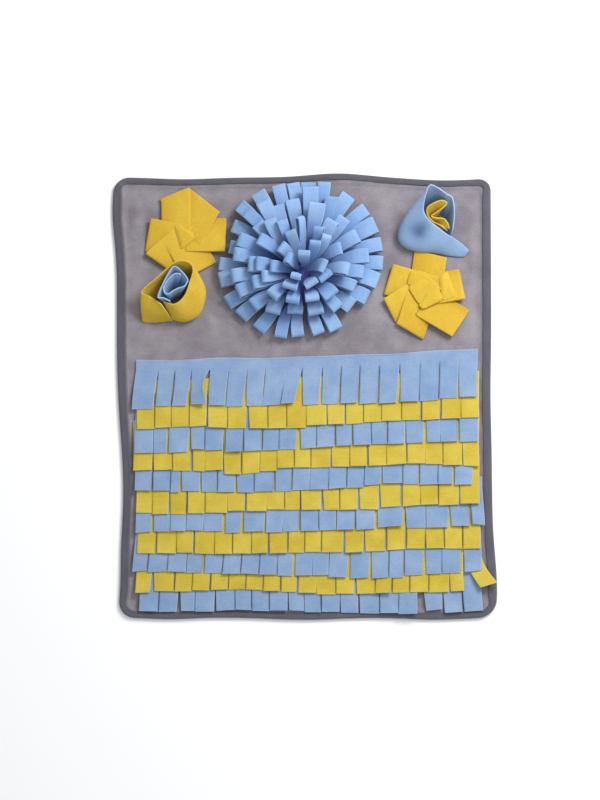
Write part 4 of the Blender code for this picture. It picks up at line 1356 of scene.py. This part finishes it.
# %% Petals and flaps
def petal_place(fold):
    """Where a petal's middle line starts and ends, and the ways across it and up from it."""
    edge = Vector((fold.to_x - fold.x, fold.to_y - fold.y, 0)) / 1000
    centre = Vector((fold.x + fold.to_x, fold.y + fold.to_y, 0)) / 2000
    width = edge.length
    tilt = math.asin(PETAL_RISE / width)
    across = -edge.normalized()
    forward = across.cross(Vector((0, 0, 1)))
    turn = math.radians(fold.heading_deg)
    heading = Vector((math.cos(turn), math.sin(turn), 0))
    side = across * math.cos(tilt) - Vector((0, 0, math.sin(tilt)))
    up = Vector((0, 0, 1)) * math.cos(tilt) + across * math.sin(tilt)
    tip = centre + Vector((0, 0, PETAL_SEAT + PETAL_RISE / 2)) - forward * (PETAL_GAP * PETAL_TIP)
    root = tip - heading * (centre.dot(forward) - PETAL_ROOT) / heading.dot(forward)
    return Petal(root, tip, side, up, width)


def petals_top(petals, x, y):
    """The height of the uppermost petal at a place on the flower."""
    top = PETAL_SEAT
    for petal in petals:
        run = petal.tip - petal.root
        dx, dy = x - petal.root.x, y - petal.root.y
        det = run.x * petal.side.y - run.y * petal.side.x
        share = (dx * petal.side.y - dy * petal.side.x) / det
        out = (run.x * dy - run.y * dx) / det
        if -0.02 < share < 1.02 and abs(out) < petal.width / 2 + 0.0006:
            bulge = 0.0009 * (1 - (2 * out / petal.width) ** 2)
            leaf = petal.root.z + petal.side.z * out + PETAL_GAP / 2
            top = max(top, leaf + max(bulge, 0.0) + LOOP_FLEECE / 2)
    return top


def add_petal(bm, middle, petal, draw):
    """One folded turn of the strip: an upper and a lower leaf that meet in a bend at the tip."""
    root, tip, side, up, width = petal
    forward = side.cross(up).normalized()
    band = CUT_BAND / width
    shares = (0.0, band, 0.2, 0.4, 0.6, 0.8, 1 - band, 1.0)
    # Painted shade towards the side of the petal that is tucked under its neighbour.
    shades = (0.0, 0.0, 0.0, 0.0, 0.05, 0.15, 0.3, 0.3)
    puff = draw.uniform(0.0005, 0.0011)
    tone = draw.uniform(-0.2, 0.2)
    length = (tip - root).length
    under, over = [], []
    for share in (0.0, 0.2, 0.4, 0.6, 0.8, PETAL_STRAIGHT):
        point = root.lerp(tip, share)
        half_gap = PETAL_GAP / 2 * (0.55 + 0.45 * ease(share))
        for leaf, sign in ((under, -1), (over, 1)):
            line = []
            for s in shares:
                a = s - 0.5
                ripple = noise.noise(Vector((point.x * 55 + a * 2, point.y * 55, sign * 4.0))) * 0.0007
                bulge = puff * (1 - 4 * a * a) * math.sin(math.pi * min(1.0, share + 0.1)) * sign
                lift = sign * half_gap + bulge + max(ripple, -0.0002)
                line.append((point + side * (a * width) + up * lift, share * length))
            leaf.append(line)
    straight = PETAL_STRAIGHT * length
    reach = PETAL_GAP * PETAL_TIP + length - straight
    turned = (forward, side, up)
    bent = soft_fold(point, turned, shares, width, PETAL_GAP, reach, straight, PETAL_GAP)
    start = (draw.uniform(0, 1), draw.uniform(0, 1))
    entries = []
    for line in fold_over(under, bent, over, 2 * straight + PETAL_GAP):
        entry = []
        for s, shade, (p, along) in zip(shares, shades, line):
            marks = Marks(cut=0.15 if s in (0.0, 1.0) else 0.0, tucked=shade, tone=tone)
            entry.append((middle + p, (start[0] + s * width, start[1] + along), marks))
        entries.append(entry)
    add_grid(bm, entries)


def flap_height(petals, x, y):
    """Cloth laid on the petals does not follow their steps: it spans from one to the next."""
    angles = [n * math.pi / 4 for n in range(8)]
    ring = [Vector((math.cos(a), math.sin(a))) * 0.0025 for a in angles]
    tops = [max(petals_top(petals, x + a.x + b.x, y + a.y + b.y) for b in ring) for a in ring]
    return sum(tops) / len(ring)


def add_flap(bm, at, petals, outline, above, draw):
    """A fan of cloth from the middle of its outline, raised by what already lies on the petals."""
    corners = [Vector(corner) / 1000 for corner in outline]
    middle = sum(corners, Vector((0, 0))) / len(corners)
    tone = draw.uniform(-0.2, 0.2)
    before = set(bm.verts)
    for start, end in zip(corners, corners[1:] + corners[:1]):
        lines = []
        for out in (0.0, 0.25, 0.5, 0.65, 0.8, 0.92, 1.0):
            line = []
            for s in (0.0, 0.25, 0.5, 0.75, 1.0):
                plan = middle.lerp(start.lerp(end, s), out)
                rim = ease((out - 0.5) / 0.5)
                height = (flap_height(petals, plan.x, plan.y) + LOOP_FLEECE / 2) * (1 - rim)
                height += (petals_top(petals, plan.x, plan.y) - FLAP_TUCKED) * rim + above
                marks = Marks(cut=0.1 if out == 1 else 0.0, tone=tone)
                line.append((at + Vector((*plan, height)), (plan.x, plan.y), marks))
            lines.append(line)
        add_grid(bm, lines)
    bmesh.ops.remove_doubles(bm, verts=[v for v in bm.verts if v not in before], dist=1e-6)


print("a petal rises", PETAL_RISE * 1000, "mm from side to side")


# %% [markdown]
# ### Both flowers
# A flower is one sheet.


def build_flower(side, flower):
    draw = random.Random(flower.seed)
    bm = new_cloth()
    petals = [petal_place(fold) for fold in flower.folds]
    for petal in petals:
        add_petal(bm, flower.at, petal, draw)
    for number, outline in enumerate(flower.flaps):
        add_flap(bm, flower.at, petals, outline, number * FLAP_STEP, draw)
    name = f"folded_flower_{side}"
    folded = finish_piece(name, bm, "flower yellow", LOOP_FLEECE, 0.0)
    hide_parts(f"flower_{side}")
    print(side, "flower:", len(folded.data.polygons), "faces before thickness")


build_flower("left", LEFT_FLOWER)
build_flower("right", RIGHT_FLOWER)

# %% [markdown]
# ## Wrapped buds
# A bud is a sheet wrapped once round into a cup, its outer end lapped over its start and its foot
# sewn down, with a rolled strip standing in it.  No cup is round, so the wall is set out by places:
# where its foot, its belly and its rim stand, one after another round the cup, in millimetres from
# the bud's middle.  A smooth curve is drawn through each of the three.

# %% Bud tables
Wall = namedtuple("Wall", "foot belly rim")
Roll = namedtuple("Roll", "foot foot_spread waist waist_spread edge")
# A dimple's shade is how dark a shadow is painted in it.
Dimple = namedtuple("Dimple", "x y radius depth shade")
Bud = namedtuple("Bud", "at wrap_cloth roll_cloth walls roll dimples")
LEFT_BUD = Bud(
    at=Vector((-0.1745, 0.1290, CLOTH + CLEAR)),
    wrap_cloth="yellow",
    roll_cloth="blue",
    walls=(
        Wall((-8, -22, 0), (-9, -15, 12), (-14, -5, 23)),
        Wall((3, -26, 0), (4, -25, 11), (-1, -10, 26)),
        Wall((16, -27, 0), (20, -26, 12), (8, -7, 28)),
        Wall((28, -19, 0), (34, -17, 14), (15, 1, 30)),
        Wall((32, -3, 0), (41, -1, 17), (19, 10, 33)),
        Wall((32, 11, 0), (42, 13, 19), (22, 19, 36)),
        Wall((28, 21, 0), (36, 26, 22), (26, 32, 41)),
        Wall((20, 27, 0), (27, 35, 24), (23, 41, 45)),
        Wall((10, 28, 0), (14, 37, 24), (13, 45, 46)),
        Wall((0, 25, 0), (1, 34, 22), (2, 43, 44)),
        Wall((-10, 20, 0), (-11, 27, 20), (-9, 35, 39)),
        Wall((-16, 9, 0), (-21, 17, 16), (-22, 24, 33)),
        Wall((-26, -5, 0), (-34, 6, 14), (-34, 15, 28)),
        Wall((-41, -27, 0), (-43, -9, 13), (-42, 7, 24)),
        Wall((-30, -30, 0), (-32, -17, 14), (-31, 1, 24)),
        Wall((-15, -29, 0), (-19, -20, 14), (-22, -5, 24)),
        Wall((0, -27, 0), (-6, -21, 14), (-16, -10, 25)),
    ),
    roll=Roll(
        foot=(0, 4), foot_spread=0.42, waist=(0, 8, 16), waist_spread=0.72,
        edge=(
            (11, 28, 39), (2.5, 29, 39), (-5, 23, 38), (-10, 17, 36), (-13, 10, 34), (-11, 4, 32), (-6, 2.5, 32),
            (-1, 6, 33), (8, 10.5, 34), (14.5, 12, 35), (18.5, 17, 36), (19.5, 22, 37), (12.5, 31, 40),
            (3.5, 38, 42), (-3, 34.5, 41), (-13, 17, 36), (-20.5, -1, 31), (-13, -2.5, 30), (-4, -6.5, 29),
        ),
    ),
    dimples=(Dimple(16, -14, 11, 1.6, 0),),
)
RIGHT_BUD = Bud(
    at=Vector((0.1680, 0.2215, CLOTH + CLEAR)),
    wrap_cloth="blue",
    roll_cloth="yellow",
    walls=(
        Wall((20, -12, 0), (27, -6, 12), (31, 0, 21)),
        Wall((19, 4, 0), (27, 13, 17), (33, 21, 34)),
        Wall((20, 15, 0), (27, 28, 22), (30, 39, 42)),
        Wall((17, 22, 0), (21, 33, 25), (22, 44, 46)),
        Wall((9, 27, 0), (11, 40, 27), (9, 52, 51)),
        Wall((-2, 26, 0), (-5, 40, 29), (0, 54, 54)),
        Wall((-13, 22, 0), (-17, 34, 29), (-4, 45, 50)),
        Wall((-25, 14, 0), (-29, 23, 24), (-7, 33, 44)),
        Wall((-33, 3, 0), (-37, 8, 18), (-8, 23, 39)),
        Wall((-35, -9, 0), (-38, -6, 14), (-4, 15, 35)),
        Wall((-28, -19, 0), (-29, -16, 14), (3, 8, 31)),
        Wall((-14, -24, 0), (-12, -21, 13), (12, 2, 27)),
        Wall((4, -27, 0), (6, -22, 12), (22, -5, 22)),
        Wall((20, -30, 0), (24, -22, 9), (32, -10, 16)),
        Wall((36, -32, 0), (39, -24, 6), (43, -16, 9)),
        Wall((47, -32, 0), (50, -28, 3), (53, -24, 4)),
    ),
    roll=Roll(
        foot=(3, 6), foot_spread=0.35, waist=(4, 15, 24), waist_spread=0.30,
        edge=(
            (24, -2, 23), (17, 4, 25), (4, 10, 27), (-3.5, 19, 32), (-3.5, 27, 38), (7, 33.5, 41), (17, 36, 42),
            (23.5, 32.5, 40), (17, 26.5, 37), (9, 21.5, 33), (2.5, 17.5, 29), (9, 14.5, 29), (20, 13, 30),
            (25.5, 5, 28), (26, 0, 25),
        ),
    ),
    dimples=(Dimple(-17, -4, 11, 5.0, 0.8),),
)
BUD_CLOTHS = {"yellow": "flower yellow", "blue": "bud blue"}
print("places round the walls:", len(LEFT_BUD.walls), "and", len(RIGHT_BUD.walls))

# %% [markdown]
# ### Wraps and rolls
# A wrap's wall bends from its foot through its belly to its rim, with faint creases and a dimple
# pressed into it, and a shadow can be painted in the dimple.  A roll stands on edge: its upper edge
# follows the places in the table, and its waist and foot are drawn together, with shade painted
# towards its foot.  Each one's length is measured as it is made, a wrap's along its belly and a
# roll's half way up.

# %% Wraps and rolls
WRAP_STEPS = 6
WRAP_RINGS = 14
CREASE = 0.0011
PRESSED_IN = 0.5
PRESSED_DOWN = 0.86
ROLL_STEPS = 5
ROLL_RINGS = (0.0, 0.2, 0.4, 0.55, 0.7, 0.82, 0.92, 0.975, 1.0)


def smooth_place(places, at):
    """A point on a curve through all the places; at counts them from 0."""
    number = min(int(at), len(places) - 2)
    share = at - number
    before = Vector(places[max(number - 1, 0)])
    a = Vector(places[number])
    b = Vector(places[number + 1])
    after = Vector(places[min(number + 2, len(places) - 1)])
    s2, s3 = share**2, share**3
    curve = a * (2 * s3 - 3 * s2 + 1) + (b - before) / 2 * (s3 - 2 * s2 + share)
    return curve + b * (3 * s2 - 2 * s3) + (after - a) / 2 * (s3 - s2)


def build_wrap(name, bud):
    """The sheet round a bud, and its length along its belly."""
    bm = new_cloth()
    feet, bellies, rims = zip(*bud.walls)
    base = bud.at + Vector((0, 0, LOOP_FLEECE / 2))
    columns = []
    travelled = 0.0
    last = Vector(bellies[0]) / 1000
    steps = (len(bud.walls) - 1) * WRAP_STEPS
    for step in range(steps + 1):
        at = step / WRAP_STEPS
        foot, belly, rim = (smooth_place(places, at) / 1000 for places in (feet, bellies, rims))
        pull = belly * 2 - (foot + rim) / 2
        travelled += (belly - last).length
        last = belly
        height = (rim - foot).length
        outward = Vector((belly.x, belly.y, 0)).normalized()
        column = []
        for ring in range(WRAP_RINGS + 1):
            up = 1 - CUT_BAND / height if ring == WRAP_RINGS - 1 else ring / WRAP_RINGS
            point = bend((foot, pull, rim), up)
            crease = noise.noise(Vector((travelled * 42, up * 1.4, bud.at.x * 50))) * CREASE
            point += outward * (crease * math.sin(math.pi * min(1, up * 1.1)))
            shadow = 0.0
            for dimple in bud.dimples:
                to_dimple = Vector((dimple.x, dimple.y, 0))
                away = (Vector((point.x, point.y, 0)) * 1000 - to_dimple).length / dimple.radius
                if outward.dot(to_dimple.normalized()) > 0.5:
                    sunk = math.exp(-away * away)
                    pressed = outward * -PRESSED_IN - Vector((0, 0, PRESSED_DOWN))
                    point += pressed * (dimple.depth / 1000 * sunk)
                    # Painted shadow in the dimple.
                    shadow += dimple.shade * sunk
            at_edge = ring == WRAP_RINGS or step in (0, steps)
            shade = 0.25 * noise.noise(Vector((travelled * 60, up * 2.2, 5.0)))
            marks = Marks(cut=0.5 if at_edge else 0.0, tucked=shadow, tone=shade)
            column.append((base + point, (travelled, up * height), marks))
        columns.append(column)
    add_grid(bm, columns)
    return finish_piece(name, bm, BUD_CLOTHS[bud.wrap_cloth], LOOP_FLEECE, 0.0), travelled


def build_roll(name, bud):
    """The strip that stands in a bud, and its flat size: half way up, and from foot to edge."""
    bm = new_cloth()
    roll = bud.roll
    base = bud.at + Vector((0, 0, LOOP_FLEECE / 2))
    middle = sum((Vector(place) for place in roll.edge), Vector((0, 0, 0))) / len(roll.edge)
    columns = []
    halves = []
    travelled = 0.0
    last = Vector(roll.edge[0]) / 1000
    steps = (len(roll.edge) - 1) * ROLL_STEPS
    for step in range(steps + 1):
        place = smooth_place(roll.edge, step / ROLL_STEPS)
        spread = Vector((place.x - middle.x, place.y - middle.y, 0))
        top = place / 1000
        foot = (Vector((*roll.foot, 0)) + spread * roll.foot_spread) / 1000
        waist = (Vector(roll.waist) + spread * roll.waist_spread) / 1000
        travelled += (top - last).length
        last = top
        halves.append(bend((foot, waist, top), 0.5))
        column = []
        for up in ROLL_RINGS:
            point = bend((foot, waist, top), up)
            at_edge = up == 1.0 or step in (0, steps)
            # Painted shade, deepest at the roll's foot down inside the bud.
            marks = Marks(cut=0.6 if at_edge else 0.0, tucked=0.8 * max(0.0, 1 - up))
            column.append((base + point, (travelled, up * top.z), marks))
        columns.append(column)
    add_grid(bm, columns)
    piece = finish_piece(name, bm, BUD_CLOTHS[bud.roll_cloth], LOOP_FLEECE, 0.0)
    return piece, (path_length(halves), (middle - Vector((*roll.foot, 0))).length / 1000)


def build_bud(side, bud):
    wrap, wrap_length = build_wrap(f"wrapped_bud_{side}", bud)
    roll, roll_size = build_roll(f"rolled_strip_{side}", bud)
    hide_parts(f"bud_{side}_wrap")
    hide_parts(f"bud_{side}_roll")
    rolled = [round(size, 3) for size in roll_size]
    print(side, "bud: wrap", round(wrap_length, 3), "m long, roll", rolled, "m")


build_bud("left", LEFT_BUD)
build_bud("right", RIGHT_BUD)

# %% [markdown]
# ## Stitching
# The binding is sewn down with one line of stitches just inside its hem, and the first row's
# header shows the line that holds it.  A stitch is a short thread that dips into the cloth at
# both ends, so a stretched ball of a few faces is enough for each.

# %% Stitches
UP = Vector((0, 0, 1))
STITCH_SPACING = 0.0036
ON_TAPE = TAPE_HEIGHT + 0.00005
HEADER_SEAM = 0.0042
JOIN_AT = 0.0187
JOIN_INSETS = (0.0030, 0.0045, 0.0060, 0.0078)


def add_stitch(bm, place, along, length, thickness):
    side = UP.cross(along).normalized()
    axes = Matrix((along * length / 2, side * thickness / 2, UP * thickness / 2))
    matrix = Matrix.Translation(place) @ axes.transposed().to_4x4()
    bmesh.ops.create_icosphere(bm, subdivisions=1, radius=1.0, matrix=matrix, calc_uvs=True)


def stitch_line(bm, points, length, thickness):
    """Stitches at even spacing along a line of points."""
    travelled = 0.0
    count = 0
    for a, b in zip(points, points[1:]):
        step = (b - a).length
        while travelled < step:
            add_stitch(bm, a.lerp(b, travelled / step), (b - a).normalized(), length, thickness)
            travelled += STITCH_SPACING
            count += 1
        travelled -= step
    return count


binding_thread = new_cloth()
line = []
for p, q in zip(outline_ring(0.0084), outline_ring(0.0094)):
    sewn = p + (q - p).normalized() * (hem_cover(p.x, p.y) - TAPE_COVER) * 0.65
    line.append(Vector((*(sewn + MAT_SHIFT), ON_TAPE)))
line.append(line[0])
count = stitch_line(binding_thread, line, 0.0027, 0.0006)
# One seam across the tape shows where its two ends are joined.
for inset in JOIN_INSETS:
    p = wander(JOIN_AT - MAT_SHIFT.x + 0.0006, -HALF_LENGTH + inset) + MAT_SHIFT
    add_stitch(binding_thread, Vector((*p, ON_TAPE)), Vector((0, 1, 0)), 0.0019, 0.0009)
finish_piece("binding_stitches", binding_thread, "grey thread", rounds=0)
print("stitches in the binding:", count)

header_thread = new_cloth()
line = []
for step in range(61):
    x = -0.2225 + 0.4525 * step / 60
    share = (x + HALF_WIDTH) / (2 * HALF_WIDTH)
    height = shingle_height(1, 0.13) + FLEECE + 0.0001
    line.append(Vector((x, row_line(1, share) - HEADER_SEAM, height)))
count = stitch_line(header_thread, line, 0.0026, 0.0006)
finish_piece("header_stitches", header_thread, "blue thread", rounds=0)
print("stitches in the first header:", count)
